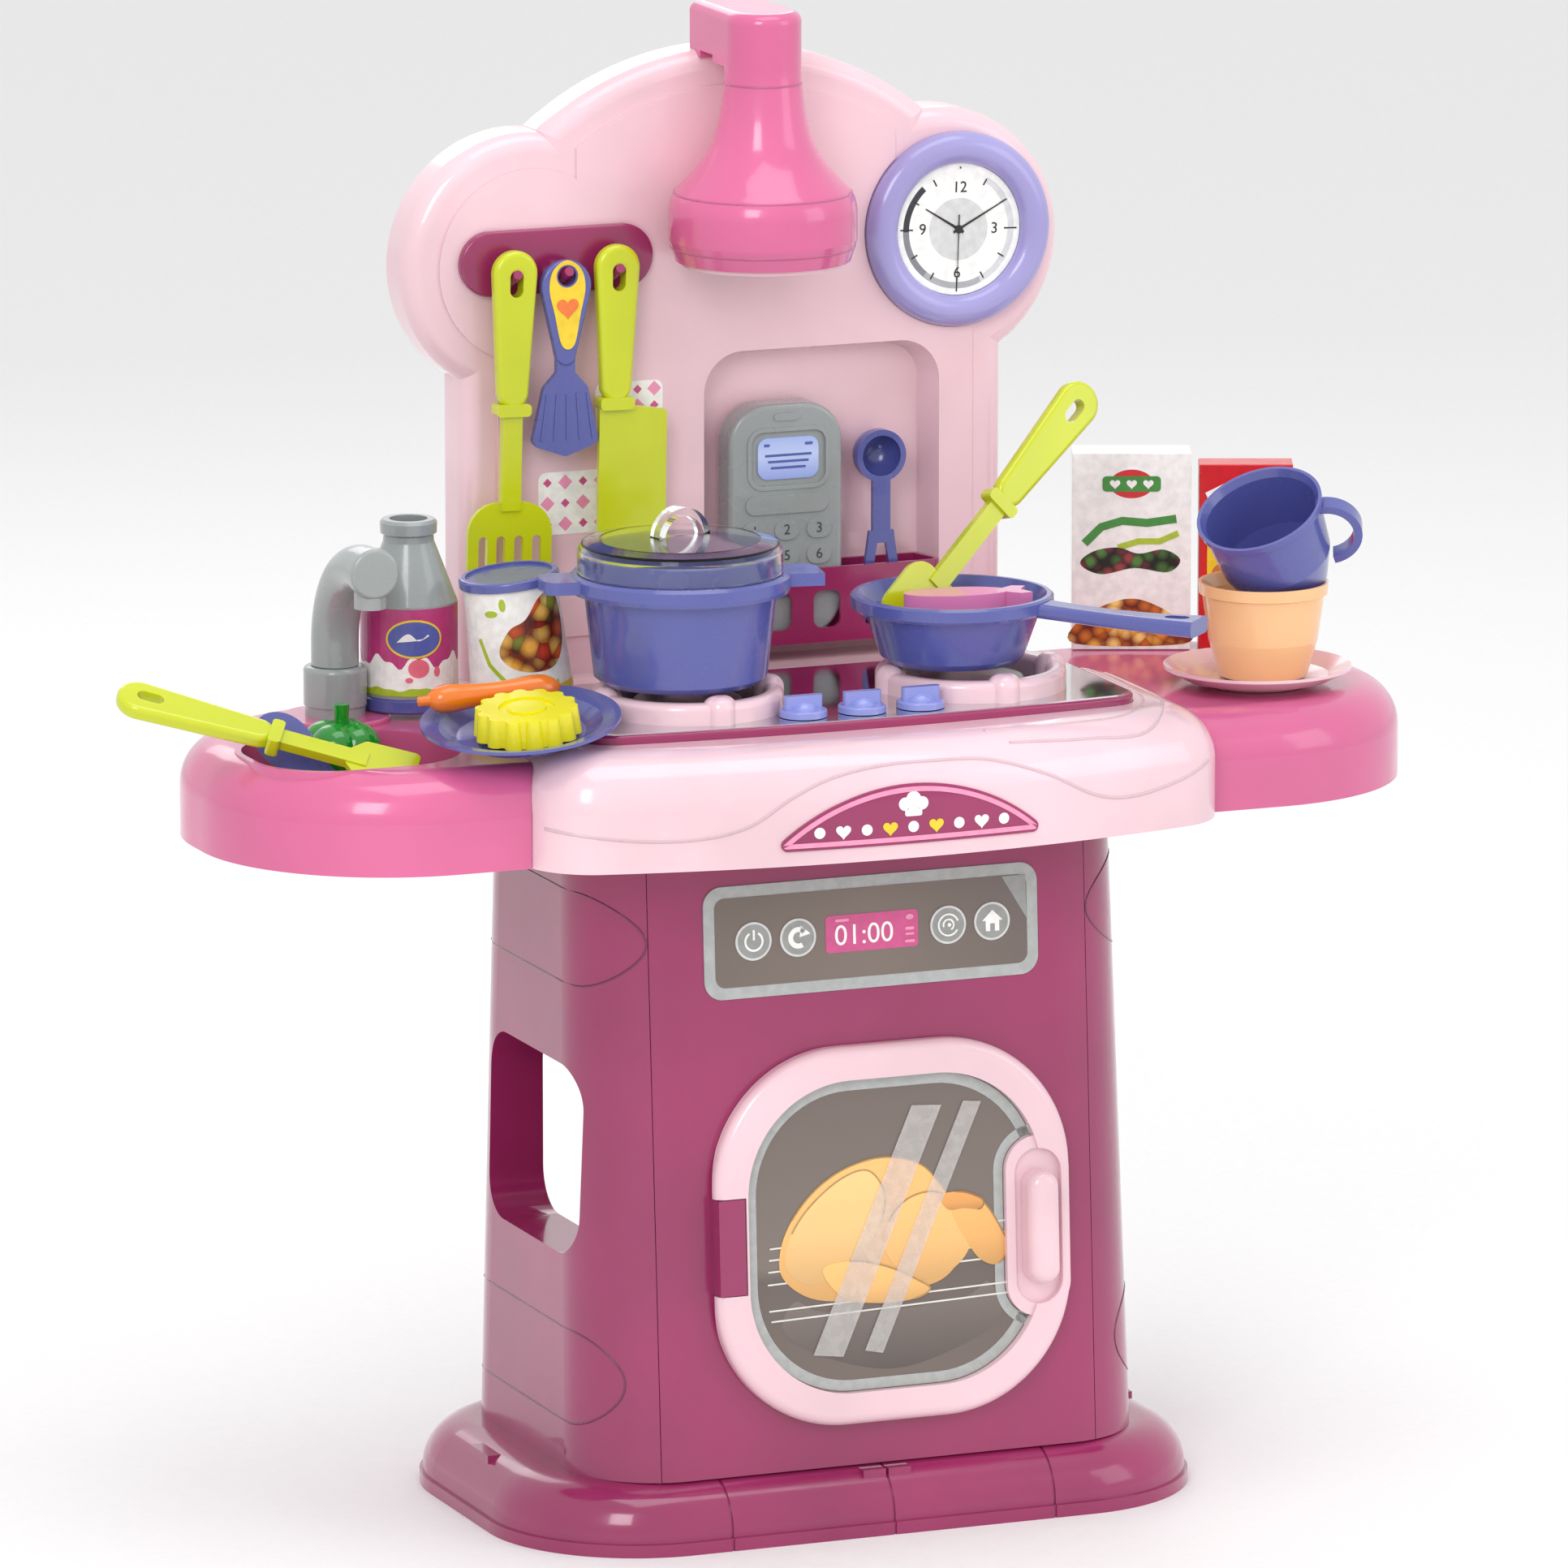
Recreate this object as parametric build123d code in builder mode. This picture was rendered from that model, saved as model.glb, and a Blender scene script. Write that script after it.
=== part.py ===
"""Toy kitchen, modelled in millimetres.

+X is the right side as seen from the front, the front faces -Y and +Z is up.  The origin is on the
floor at the centre of the plinth.  Every piece is its own solid, in the place it has when the oven
door is shut and all the accessories are set out.
"""
from build123d import *
from math import cos, radians, sin, tan
import os

# ---- plinth and cabinet ---------------------------------------------------------------------
PLINTH_HALF_W = 175.0
PLINTH_HALF_D = 114.0
PLINTH_CORNER_R = 74.0
PLINTH_H = 31.0
LIP_H = 6.0
SEAM_PITCH = 81.5
WALL = 3.0                      # moulded wall of the large shells
CABINET_TOP = 331.0
CABINET_R = 45.0
# height, half width, front y, back y of the tapered cabinet
CABINET_FOOT = (PLINTH_H, 142.0, -97.0, 94.0)
CABINET_HEAD = (CABINET_TOP, 136.0, -80.0, 88.0)
FRONT_HALF_W = 110.0            # flat front panel, between the two side panels
PART_GAP = 0.2                  # half of the visible seam between two shells
BACK_OPEN_HALF_W = 118.0
HAND_HOLE = (-4.0, 177.0, 112.0, 90.0)      # y, z, width, height
HAND_HOLE_R = 20.0
HAND_HOLE_RETURN = 20.0

# ---- the leaning front face -------------------------------------------------------------------
LEAN = (CABINET_HEAD[2] - CABINET_FOOT[2]) / (CABINET_HEAD[0] - CABINET_FOOT[0])
FACE_Y0 = CABINET_FOOT[2] - LEAN * CABINET_FOOT[0]
LEAN_LENGTH = (1.0 + LEAN**2) ** 0.5
FACE = Plane(origin=(0, FACE_Y0, 0), x_dir=(1, 0, 0), z_dir=(0, -1 / LEAN_LENGTH, LEAN / LEAN_LENGTH))
FORWARD = Axis(FACE.origin, FACE.z_dir)

# ---- oven ----------------------------------------------------------------------------------------
DOOR_X = 6.0
DOOR_Z = 141.0
DOOR_HALF = 89.5
DOOR_R = 64.0
DOOR_T = 9.0
WINDOW_HALF = 74.0
WINDOW_R = 52.0
CARD_T = 1.2
OVEN_HALF = 66.0
OVEN_DEPTH = 92.0
HINGE_X = DOOR_X - DOOR_HALF + 4.5
HINGE_OUT = 5.5                 # hinge axis, out from the front face
HINGE_HALF_H = 23.0
HINGE_PIN_R = 1.5
HINGE_REACH = 7.0               # of the pin into the door, above and below the knuckle
HANDLE_X = DOOR_X + 72.5

# ---- control panel -------------------------------------------------------------------------------
PANEL_HALF_W = 84.0
PANEL_HALF_H = 26.5
PANEL_Z = 283.0

# ---- counter ----------------------------------------------------------------------------------
COUNTER_BOTTOM = 327.0
WING_TOP = 373.0
WING_HALF_W = 299.0
WING_FRONT = -90.0
COUNTER_BACK = 110.0
WING_END_R = 92.0
WING_EDGE_R = 22.0
CENTRE_TOP = 380.0
CENTRE_HALF_W = 172.0
CENTRE_FRONT = -133.0
CENTRE_BOW = 25.0
CENTRE_CORNER_R = 34.0
CENTRE_EDGE_R = 26.0
REAR_HALF_W = 140.0             # narrower rear of the centre, under the backsplash
REAR_START = 34.0
SINK = (-232.0, -14.5, 98.0, 87.0)          # x, y, width, depth
SINK_DEPTH = 30.0
SINK_R = 36.0

BADGE_HALF_W = 69.0
BADGE_Z = 334.0
BADGE_H = 28.0

# ---- hob -----------------------------------------------------------------------------------------
HOB_HALF_W = 138.0
HOB_FRONT = -90.0
HOB_BACK = 42.0
HOB_TOP = 384.5
BURNER_X = 71.5
BURNER_Y = -32.0
BURNER_R = 40.5
BURNER_TOP = 397.5
KNOB_X = (-29.5, 0.0, 29.5)
KNOB_Y = -71.5
KNOB_R = 11.3

# ---- faucet --------------------------------------------------------------------------------------
FAUCET = (-213.0, 58.0)
FAUCET_TUBE_R = 11.2
FAUCET_BEND_R = 42.0
FAUCET_RISE = 10.0

# ---- backsplash ------------------------------------------------------------------------------------
SPLASH_FRONT = 85.0
SPLASH_BACK = 110.0
SPLASH_HALF_W = 138.0
LOBE_X = 104.0
LOBE_Z = 577.0
LOBE_R = 63.0
DOME_TOP = 675.0
DOME_HALF_W = 98.0
DOME_SIDE_Z = 640.0
SPLASH_EDGE_R = 9.0
FIELD_H = 1.2
FIELD_Y = SPLASH_FRONT - FIELD_H
RECESS = (-17.0, 104.0, 530.0)              # left x, right x, top z
RECESS_DEPTH = 15.0

# ---- hood ----------------------------------------------------------------------------------------
HOOD_Y = 51.0
HOOD_R = 44.5
NECK_R = 18.2
CAP_TOP = 697.0
CAP_BACK = 98.0

# ---- clock and hooks -----------------------------------------------------------------------------
CLOCK_X = 112.6
CLOCK_Z = 582.0
CLOCK_R = 46.8
DIAL_R = 31.6
RAIL = (-92.3, 579.5, 97.0, 31.0)           # x, z, width, height
HOOK_X = (-118.0, -92.3, -66.5)
HOOK_Z = 569.5
HOOK_R = 2.2
HOOK_RISE = 25.0                            # degrees above level
RAIL_T = 4.0
PEG_LENGTH = 18.0
TOOL_Y = 70.0                               # middle plane of the hanging tools
HANDLE_T = 7.6
OVAL_HOLE_Z = 571.9
ROUND_HOLE_Z = 574.0

# ---- rack and what stands in it ------------------------------------------------------------------
RACK_BOTTOM = 388.0
RACK_TOP = 424.0
RACK_FRONT = 77.0
PHONE = (24.0, 58.0, 113.0, 14.5)           # x, width, height, thickness
SPOON = (73.5, 475.0, 12.6)                 # x, bowl z, bowl radius
SPOON_Y = 84.5

# ---- loose accessories ---------------------------------------------------------------------------
REST_GAP = 0.3                              # between a loose piece and what it stands on
POT = (-75.0, BURNER_Y)
POT_TURN = -10.0
LID_TURN = 10.0
PAN = (62.0, BURNER_Y)
PAN_TURN = -45.0
TURNER_FOOT = (47.0, -20.0, 418.0)
TURNER_TOP = (142.0, 14.0, 503.0)           # centre of its hanging hole
FISH = (61.0, -39.0, 422.3, -10.0)          # x, y, z, turn
SAUCER = (222.0, -25.0)
CUP = (225.0, -25.0)
MUG = (238.0, -23.0, 419.3, -0.44, -0.29, 0.85)
PLATE = (-164.3, -58.6, 381.6, -0.10, -0.12, 0.988)     # centre of its foot, then its normal
PLATE_FLAT_R = 30.0
JELLY = (0.0, -8.5, 5.6)                    # in the plate's own frame, like the carrot
JELLY_R = 20.5
CARROT = (-5.0, 23.5, 15.7)
CARROT_TURN = -86.0
CARROT_DIP = -5.0
BOTTLE = (-174.5, 62.0)
PAD_H = 2.5
CAN = (-133.0, 22.0, 387.9, -0.12, 0.0, 0.99)
CEREAL = (204.0, 84.0, 57.0, 22.0, 96.0)    # x, y, width, depth, height
BISCUIT = (255.0, 63.5, 45.0, 18.0, 90.0)
CARTON_TURN = -22.0
SINK_TURNER = (-323.0, 6.5, 398.0, -0.871, 0.411, 0.256, 25.0)      # hole, heading, roll
SINK_SPOON = (-259.5, -1.0, 376.5, -0.5, 0.7, 0.52, 60.0)
PEPPER = (-228.0, 9.0)
PEPPER_LOBE_R = 12.0

OUT = "parts"
os.makedirs(OUT, exist_ok=True)


def save(part, name):
    """Label one finished piece and write its file."""
    part.label = name
    export_step(part, f"{OUT}/{name}.step")


# =============================== cabinet =======================================================
def cabinet_solid(inset):
    """Solid of the tapered cabinet, with its sides moved inward by inset."""
    with BuildPart() as cabinet:
        for z, half_w, front, back in (CABINET_FOOT, CABINET_HEAD):
            with BuildSketch(Plane.XY.offset(z)):
                with Locations((0, (front + back) / 2)):
                    RectangleRounded(2 * (half_w - inset), back - front - 2 * inset, CABINET_R - inset)
        loft()
    return cabinet.part


def plinth_solid(inset):
    """Solid of the plinth: a square lip, and a quarter-round above it."""
    with BuildPart() as plinth:
        with BuildSketch():
            RectangleRounded(
                2 * (PLINTH_HALF_W - inset), 2 * (PLINTH_HALF_D - inset), PLINTH_CORNER_R - inset
            )
        extrude(amount=LIP_H)
        with BuildSketch(Plane.XY.offset(LIP_H)):
            step = inset + 1.5
            RectangleRounded(2 * (PLINTH_HALF_W - step), 2 * (PLINTH_HALF_D - step), PLINTH_CORNER_R - step)
        extrude(amount=PLINTH_H - LIP_H - inset)
        top_face = plinth.faces().sort_by(Axis.Z)[-1]
        fillet(top_face.edges(), radius=PLINTH_H - LIP_H - inset - 1.5)
    return plinth.part


def plinth_grooves():
    """Thin cutters for the seams in the nose of the plinth, only as deep as its skin."""
    with BuildPart() as grooves:
        with BuildSketch():
            with Locations((0, -PLINTH_HALF_D)):
                with GridLocations(SEAM_PITCH, 1, 3, 1):
                    Rectangle(1.4, 60)
        extrude(amount=PLINTH_H + 1)
        add(plinth_solid(0.9), mode=Mode.SUBTRACT)
    return grooves.part


def make_plinth():
    """Hollow plinth with a cross of ribs that stands on the floor, and seam grooves in its nose."""
    with BuildPart() as base_plinth:
        add(plinth_solid(0))
        add(plinth_solid(WALL), mode=Mode.SUBTRACT)
        with BuildSketch():
            Rectangle(24, 2 * PLINTH_HALF_D - 20)
            Rectangle(2 * PLINTH_HALF_W - 20, 24)
        extrude(amount=PLINTH_H - WALL / 2)
        add(plinth_grooves(), mode=Mode.SUBTRACT)
    save(base_plinth.part, "base_plinth")


def hand_hole_plane(side):
    """Upright plane inside the cabinet, facing out of its side, centred on the hand hole."""
    hole_y, hole_z, _, _ = HAND_HOLE
    return Plane(
        origin=(side * (CABINET_HEAD[1] - HAND_HOLE_RETURN - 4), hole_y, hole_z),
        x_dir=(0, 1, 0), z_dir=(side, 0, 0),
    )


def hand_hole_sleeve(side):
    """Block that the hand hole is cut through, reaching inward from just under the skin."""
    _, _, hole_w, hole_h = HAND_HOLE
    with BuildPart() as sleeve:
        with BuildSketch(hand_hole_plane(side)):
            RectangleRounded(hole_w + 2 * WALL, hole_h + 2 * WALL, HAND_HOLE_R + WALL)
        extrude(amount=2 * HAND_HOLE_RETURN)
        add(cabinet_solid(WALL / 3), mode=Mode.INTERSECT)
    return sleeve.part


def make_side_panel(side, name):
    """Side shell, from the front seam round to the open back, with its hand hole."""
    _, _, hole_w, hole_h = HAND_HOLE
    with BuildPart() as panel:
        add(cabinet_solid(0))
        add(cabinet_solid(WALL), mode=Mode.SUBTRACT)
        add(hand_hole_sleeve(side))
        with BuildSketch(Plane.XY.offset(-1)):
            with Locations((-side * 245, 0)):
                Rectangle(2 * (245 + FRONT_HALF_W + PART_GAP), 400)
            with Locations((-side * 245, 120)):
                Rectangle(2 * (245 + BACK_OPEN_HALF_W), 120)
        extrude(amount=CABINET_TOP + 10, mode=Mode.SUBTRACT)
        with BuildSketch(hand_hole_plane(side).offset(-10)):
            RectangleRounded(hole_w, hole_h, HAND_HOLE_R)
        extrude(amount=60, mode=Mode.SUBTRACT)
    save(panel.part, name)


def make_front_panel():
    """Flat leaning front with the oven opening, and the two knuckles that carry the door."""
    with BuildPart() as front_panel:
        add(cabinet_solid(0))
        add(cabinet_solid(WALL), mode=Mode.SUBTRACT)
        with BuildSketch(Plane.XY.offset(-1)):
            Rectangle(500, 400)
            with Locations((0, -100)):
                Rectangle(2 * (FRONT_HALF_W - PART_GAP), 100, mode=Mode.SUBTRACT)
        extrude(amount=CABINET_TOP + 10, mode=Mode.SUBTRACT)
        with BuildSketch(FACE.offset(-10)):
            with Locations((DOOR_X, DOOR_Z)):
                RectangleRounded(2 * OVEN_HALF, 2 * OVEN_HALF, 40)
        extrude(amount=30, mode=Mode.SUBTRACT)
        with BuildSketch(FACE.offset(-WALL)):
            with Locations((HINGE_X - 3.8, DOOR_Z)):
                Rectangle(13, 2 * HINGE_HALF_H - 0.8, align=(Align.MIN, Align.CENTER))
        extrude(amount=WALL + HINGE_OUT + 4)
        hinge_line = Plane(
            origin=FACE.from_local_coords((HINGE_X, DOOR_Z - HINGE_HALF_H - HINGE_REACH, HINGE_OUT)),
            x_dir=(1, 0, 0), z_dir=FACE.y_dir,
        )
        with BuildSketch(hinge_line):
            Circle(HINGE_PIN_R)
        extrude(amount=2 * (HINGE_HALF_H + HINGE_REACH), mode=Mode.SUBTRACT)
    save(front_panel.part, "front_panel")
    return hinge_line


def door_heel(hinge_line):
    """Corner of the door to take away, so that it turns about the hinge without touching the face."""
    with BuildPart() as heel:
        with BuildSketch(FACE.offset(-0.5)):
            with Locations((HINGE_X, DOOR_Z)):
                Rectangle(12, 2 * DOOR_HALF, align=(Align.MAX, Align.CENTER))
        extrude(amount=DOOR_T + 5)
        with BuildSketch(hinge_line.offset(-DOOR_HALF)):
            Circle(HINGE_OUT - 0.3)
        extrude(amount=3 * DOOR_HALF, mode=Mode.SUBTRACT)
    return heel.part


def make_oven(hinge_line):
    """Oven liner, door frame with its knuckle, printed card, pill handle and hinge pin."""
    with BuildPart() as liner:
        with BuildSketch(FACE.offset(-WALL)):
            with Locations((DOOR_X, DOOR_Z)):
                RectangleRounded(2 * OVEN_HALF + 14, 2 * OVEN_HALF + 14, 44)
                RectangleRounded(2 * OVEN_HALF, 2 * OVEN_HALF, 40, mode=Mode.SUBTRACT)
        extrude(amount=-2)
        with BuildSketch(FACE.offset(-WALL)):
            with Locations((DOOR_X, DOOR_Z)):
                RectangleRounded(2 * OVEN_HALF + 5, 2 * OVEN_HALF + 5, 42)
        extrude(amount=-OVEN_DEPTH)
        with BuildSketch(FACE.offset(-WALL)):
            with Locations((DOOR_X, DOOR_Z)):
                RectangleRounded(2 * OVEN_HALF, 2 * OVEN_HALF, 40)
        extrude(amount=2.5 - OVEN_DEPTH, mode=Mode.SUBTRACT)
    save(liner.part, "oven_liner")

    clearance = 0.4
    with BuildPart() as door:
        with BuildSketch(FACE.offset(clearance)):
            with Locations((DOOR_X, DOOR_Z)):
                RectangleRounded(2 * DOOR_HALF, 2 * DOOR_HALF, DOOR_R)
        extrude(amount=DOOR_T)
        fillet(door.faces().sort_by(FORWARD)[-1].edges(), radius=5)
        with BuildSketch(FACE.offset(clearance + 3)):
            with Locations((DOOR_X, DOOR_Z)):
                RectangleRounded(2 * WINDOW_HALF, 2 * WINDOW_HALF, WINDOW_R)
        extrude(amount=DOOR_T, mode=Mode.SUBTRACT)
        with BuildSketch(FACE.offset(clearance + 3)):
            with Locations((HANDLE_X, DOOR_Z - 3)):
                SlotOverall(86, 32, rotation=90)
        extrude(amount=DOOR_T - 4.5)
        with BuildSketch(FACE.offset(clearance + DOOR_T - 3.5)):
            with Locations((HANDLE_X, DOOR_Z - 3)):
                SlotOverall(74, 23, rotation=90)
        extrude(amount=DOOR_T, mode=Mode.SUBTRACT)
        with BuildSketch(FACE.offset(-0.5)):
            with Locations((HINGE_X - 10, DOOR_Z)):
                Rectangle(20, 2 * HINGE_HALF_H, align=(Align.MIN, Align.CENTER))
        extrude(amount=20, mode=Mode.SUBTRACT)
        add(door_heel(hinge_line), mode=Mode.SUBTRACT)
        with BuildSketch(hinge_line):
            Circle(HINGE_PIN_R + 0.06)
        extrude(amount=2 * (HINGE_HALF_H + HINGE_REACH), mode=Mode.SUBTRACT)
    save(door.part, "oven_door")

    with BuildPart() as pin:
        with BuildSketch(hinge_line.offset(0.4)):
            Circle(HINGE_PIN_R)
        extrude(amount=2 * (HINGE_HALF_H + HINGE_REACH) - 0.8)
    save(pin.part, "door_hinge_pin")

    with BuildPart() as handle:
        with BuildSketch(FACE.offset(clearance + DOOR_T - 3.5)):
            with Locations((HANDLE_X, DOOR_Z - 3)):
                SlotOverall(54, 15.5, rotation=90)
        extrude(amount=13)
        fillet(handle.faces().sort_by(FORWARD)[-1].edges(), radius=5.5)
    save(handle.part, "door_handle")

    with BuildPart() as card:
        with BuildSketch(FACE.offset(clearance + 3)):
            with Locations((DOOR_X, DOOR_Z)):
                RectangleRounded(2 * WINDOW_HALF, 2 * WINDOW_HALF, WINDOW_R)
            with Locations((HANDLE_X, DOOR_Z - 3)):
                SlotOverall(86.4, 32.4, rotation=90, mode=Mode.SUBTRACT)
            with Locations((HINGE_X, DOOR_Z)):
                Rectangle(10.2, 2 * HINGE_HALF_H, align=(Align.MIN, Align.CENTER), mode=Mode.SUBTRACT)
        extrude(amount=CARD_T)
    save(card.part, "oven_door_card")


def make_control_panel():
    """Printed control label, a thin plate on the front."""
    with BuildPart() as control_panel:
        with BuildSketch(FACE):
            with Locations((0, PANEL_Z)):
                RectangleRounded(2 * PANEL_HALF_W, 2 * PANEL_HALF_H, 9)
        extrude(amount=0.8)
    save(control_panel.part, "control_panel")


# =============================== counter =======================================================
def wing_solid(inset):
    """Solid of the long counter with rounded ends, moved inward by inset."""
    with BuildPart() as wing:
        with BuildSketch(Plane.XY.offset(COUNTER_BOTTOM)):
            with Locations((0, (WING_FRONT + COUNTER_BACK) / 2)):
                RectangleRounded(
                    2 * (WING_HALF_W - inset), COUNTER_BACK - WING_FRONT - 2 * inset, WING_END_R - inset
                )
        extrude(amount=WING_TOP - COUNTER_BOTTOM - inset)
        fillet(wing.faces().sort_by(Axis.Z)[-1].edges(), radius=WING_EDGE_R - inset)
    return wing.part


def centre_solid(inset):
    """Solid of the bowed middle of the counter and its narrower rear, moved inward by inset."""
    half_w = CENTRE_HALF_W - inset
    front = CENTRE_FRONT + inset
    back = REAR_START - inset
    with BuildPart() as centre:
        with BuildSketch(Plane.XY.offset(COUNTER_BOTTOM)) as outline:
            with BuildLine():
                bow = ThreePointArc((-half_w, front + CENTRE_BOW), (0, front), (half_w, front + CENTRE_BOW))
                Polyline(bow @ 1, (half_w, back), (-half_w, back), bow @ 0)
            make_face()
            fillet(outline.vertices(), radius=CENTRE_CORNER_R - inset)
        extrude(amount=CENTRE_TOP - COUNTER_BOTTOM - inset)
        fillet(centre.faces().sort_by(Axis.Z)[-1].edges(), radius=CENTRE_EDGE_R - inset)
        with BuildSketch(Plane.XY.offset(COUNTER_BOTTOM)):
            Rectangle(2 * (REAR_HALF_W - inset), COUNTER_BACK - inset, align=(Align.CENTER, Align.MIN))
        extrude(amount=CENTRE_TOP - COUNTER_BOTTOM - inset)
    return centre.part


def hob_outline(inset):
    """Sketch of the hob plate: bowed front, rounded corners."""
    half_w = HOB_HALF_W - inset
    front = HOB_FRONT + inset
    with BuildSketch() as outline:
        with BuildLine():
            bow = ThreePointArc((-half_w, front + 9), (0, front), (half_w, front + 9))
            Polyline(bow @ 1, (half_w, HOB_BACK - inset), (-half_w, HOB_BACK - inset), bow @ 0)
        make_face()
        fillet(outline.vertices(), radius=16 - inset)
    return outline.sketch


def make_counter():
    """Centre shell with its hob pocket, and the two wings that meet it, the left one with a sink."""
    with BuildPart() as counter_centre:
        add(centre_solid(0))
        add(centre_solid(WALL), mode=Mode.SUBTRACT)
        with BuildSketch(Plane.XY.offset(CENTRE_TOP - 6)):
            add(hob_outline(-3))
        extrude(amount=3.2)
        with BuildSketch(Plane.XY.offset(CENTRE_TOP - 3)):
            add(hob_outline(-0.2))
        extrude(amount=5, mode=Mode.SUBTRACT)
    save(counter_centre.part, "counter_centre")

    for side, name in ((-1, "counter_left_wing"), (1, "counter_right_wing")):
        sink_x, sink_y, sink_w, sink_d = SINK
        with BuildPart() as wing:
            add(wing_solid(0))
            add(wing_solid(WALL), mode=Mode.SUBTRACT)
            if side < 0:
                with BuildSketch(Plane.XY.offset(WING_TOP - SINK_DEPTH - WALL)):
                    with Locations((sink_x, sink_y)):
                        RectangleRounded(sink_w + 2 * WALL, sink_d + 2 * WALL, SINK_R + WALL)
                extrude(amount=SINK_DEPTH + WALL)
                with BuildSketch(Plane.XY.offset(WING_TOP - SINK_DEPTH)):
                    with Locations((sink_x, sink_y)):
                        RectangleRounded(sink_w, sink_d, SINK_R)
                extrude(amount=SINK_DEPTH + 5, mode=Mode.SUBTRACT)
            with BuildSketch(Plane.XY.offset(COUNTER_BOTTOM - 1)):
                with Locations((-side * (300 - REAR_HALF_W), 0)):
                    Rectangle(600, 400)
            extrude(amount=80, mode=Mode.SUBTRACT)
            add(centre_solid(-0.4), mode=Mode.SUBTRACT)
            with BuildSketch(Plane.XY.offset(COUNTER_BOTTOM - 1)):
                with Locations((0, COUNTER_BACK)):
                    Rectangle(2 * REAR_HALF_W + 0.8, 10)
            extrude(amount=80, mode=Mode.SUBTRACT)
        save(wing.part, name)


def make_badge():
    """Arched badge plate, bent over the counter's nose."""
    with BuildPart() as badge:
        with BuildSketch(Plane.XZ.offset(-CENTRE_FRONT - 25)) as arch_face:
            with BuildLine():
                arch = ThreePointArc(
                    (-BADGE_HALF_W, BADGE_Z), (0, BADGE_Z + BADGE_H), (BADGE_HALF_W, BADGE_Z)
                )
                Line(arch @ 1, arch @ 0)
            make_face()
            fillet(arch_face.vertices(), radius=3)
        extrude(amount=40)
        add(centre_solid(-0.9), mode=Mode.INTERSECT)
        add(centre_solid(0), mode=Mode.SUBTRACT)
    save(badge.part, "badge_plate")


# =============================== hob ==============================================================
def make_hob():
    """Hob plate, its mirror film, the two burner rings with their bosses and discs, and the knobs."""
    with BuildPart() as hob_plate:
        with BuildSketch(Plane.XY.offset(CENTRE_TOP - 2.8)):
            add(hob_outline(0))
        extrude(amount=HOB_TOP - CENTRE_TOP + 2.4)
        fillet(hob_plate.faces().sort_by(Axis.Z)[-1].edges(), radius=1.5)
        with Locations(*[(x, KNOB_Y, HOB_TOP) for x in KNOB_X]):
            Hole(2.55, depth=10)
    save(hob_plate.part, "hob_plate")

    with BuildPart() as film:
        with BuildSketch(Plane.XY.offset(HOB_TOP - 0.4)):
            add(hob_outline(2.5))
            with Locations(*[(x, KNOB_Y) for x in KNOB_X]):
                Circle(KNOB_R - 3, mode=Mode.SUBTRACT)
        extrude(amount=0.4)
    save(film.part, "hob_mirror")

    for side, name in ((-1, "left"), (1, "right")):
        centre = (side * BURNER_X, BURNER_Y)
        ring_top = BURNER_TOP - 3
        with BuildPart() as ring:
            with BuildSketch(Plane.XY.offset(HOB_TOP)):
                with Locations(centre):
                    Circle(BURNER_R + 4.5)
                    Circle(BURNER_R - 4.5, mode=Mode.SUBTRACT)
            extrude(amount=ring_top - HOB_TOP)
            fillet(ring.faces().sort_by(Axis.Z)[-1].edges(), radius=3.8)
            with BuildSketch(Plane.XY.offset(HOB_TOP)):
                with Locations(centre):
                    with PolarLocations(BURNER_R, 4):
                        Circle(7.4)
            extrude(amount=BURNER_TOP - HOB_TOP)
            fillet(ring.faces().sort_by(Axis.Z)[-4:].edges(), radius=6.2)
        save(ring.part, f"burner_ring_{name}")

    with BuildPart() as discs:
        with BuildSketch(Plane.XY.offset(HOB_TOP)):
            with Locations((-BURNER_X, BURNER_Y), (BURNER_X, BURNER_Y)):
                Circle(26)
        extrude(amount=5)
        fillet(discs.faces().sort_by(Axis.Z)[-2:].edges(), radius=2)
    save(discs.part, "burner_discs")

    for x, name in zip(KNOB_X, ("left", "centre", "right")):
        with BuildPart() as knob:
            with BuildSketch(Plane.XY.offset(HOB_TOP + 0.3)):
                with Locations((x, KNOB_Y)):
                    Circle(KNOB_R)
            extrude(amount=3.4)
            fillet(knob.faces().sort_by(Axis.Z)[-1].edges(), radius=1)
            with Locations((x, KNOB_Y, HOB_TOP + 3.7)):
                Sphere(7.6, arc_size1=0)
            with BuildSketch(Plane.XY.offset(HOB_TOP + 3)):
                with Locations((x, KNOB_Y)):
                    SlotOverall(19, 4.4)
            extrude(amount=7)
            with BuildSketch(Plane.XY.offset(HOB_TOP - 4)):
                with Locations((x, KNOB_Y)):
                    Circle(2.5)
            extrude(amount=5)
        save(knob.part, f"knob_{name}")


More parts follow.
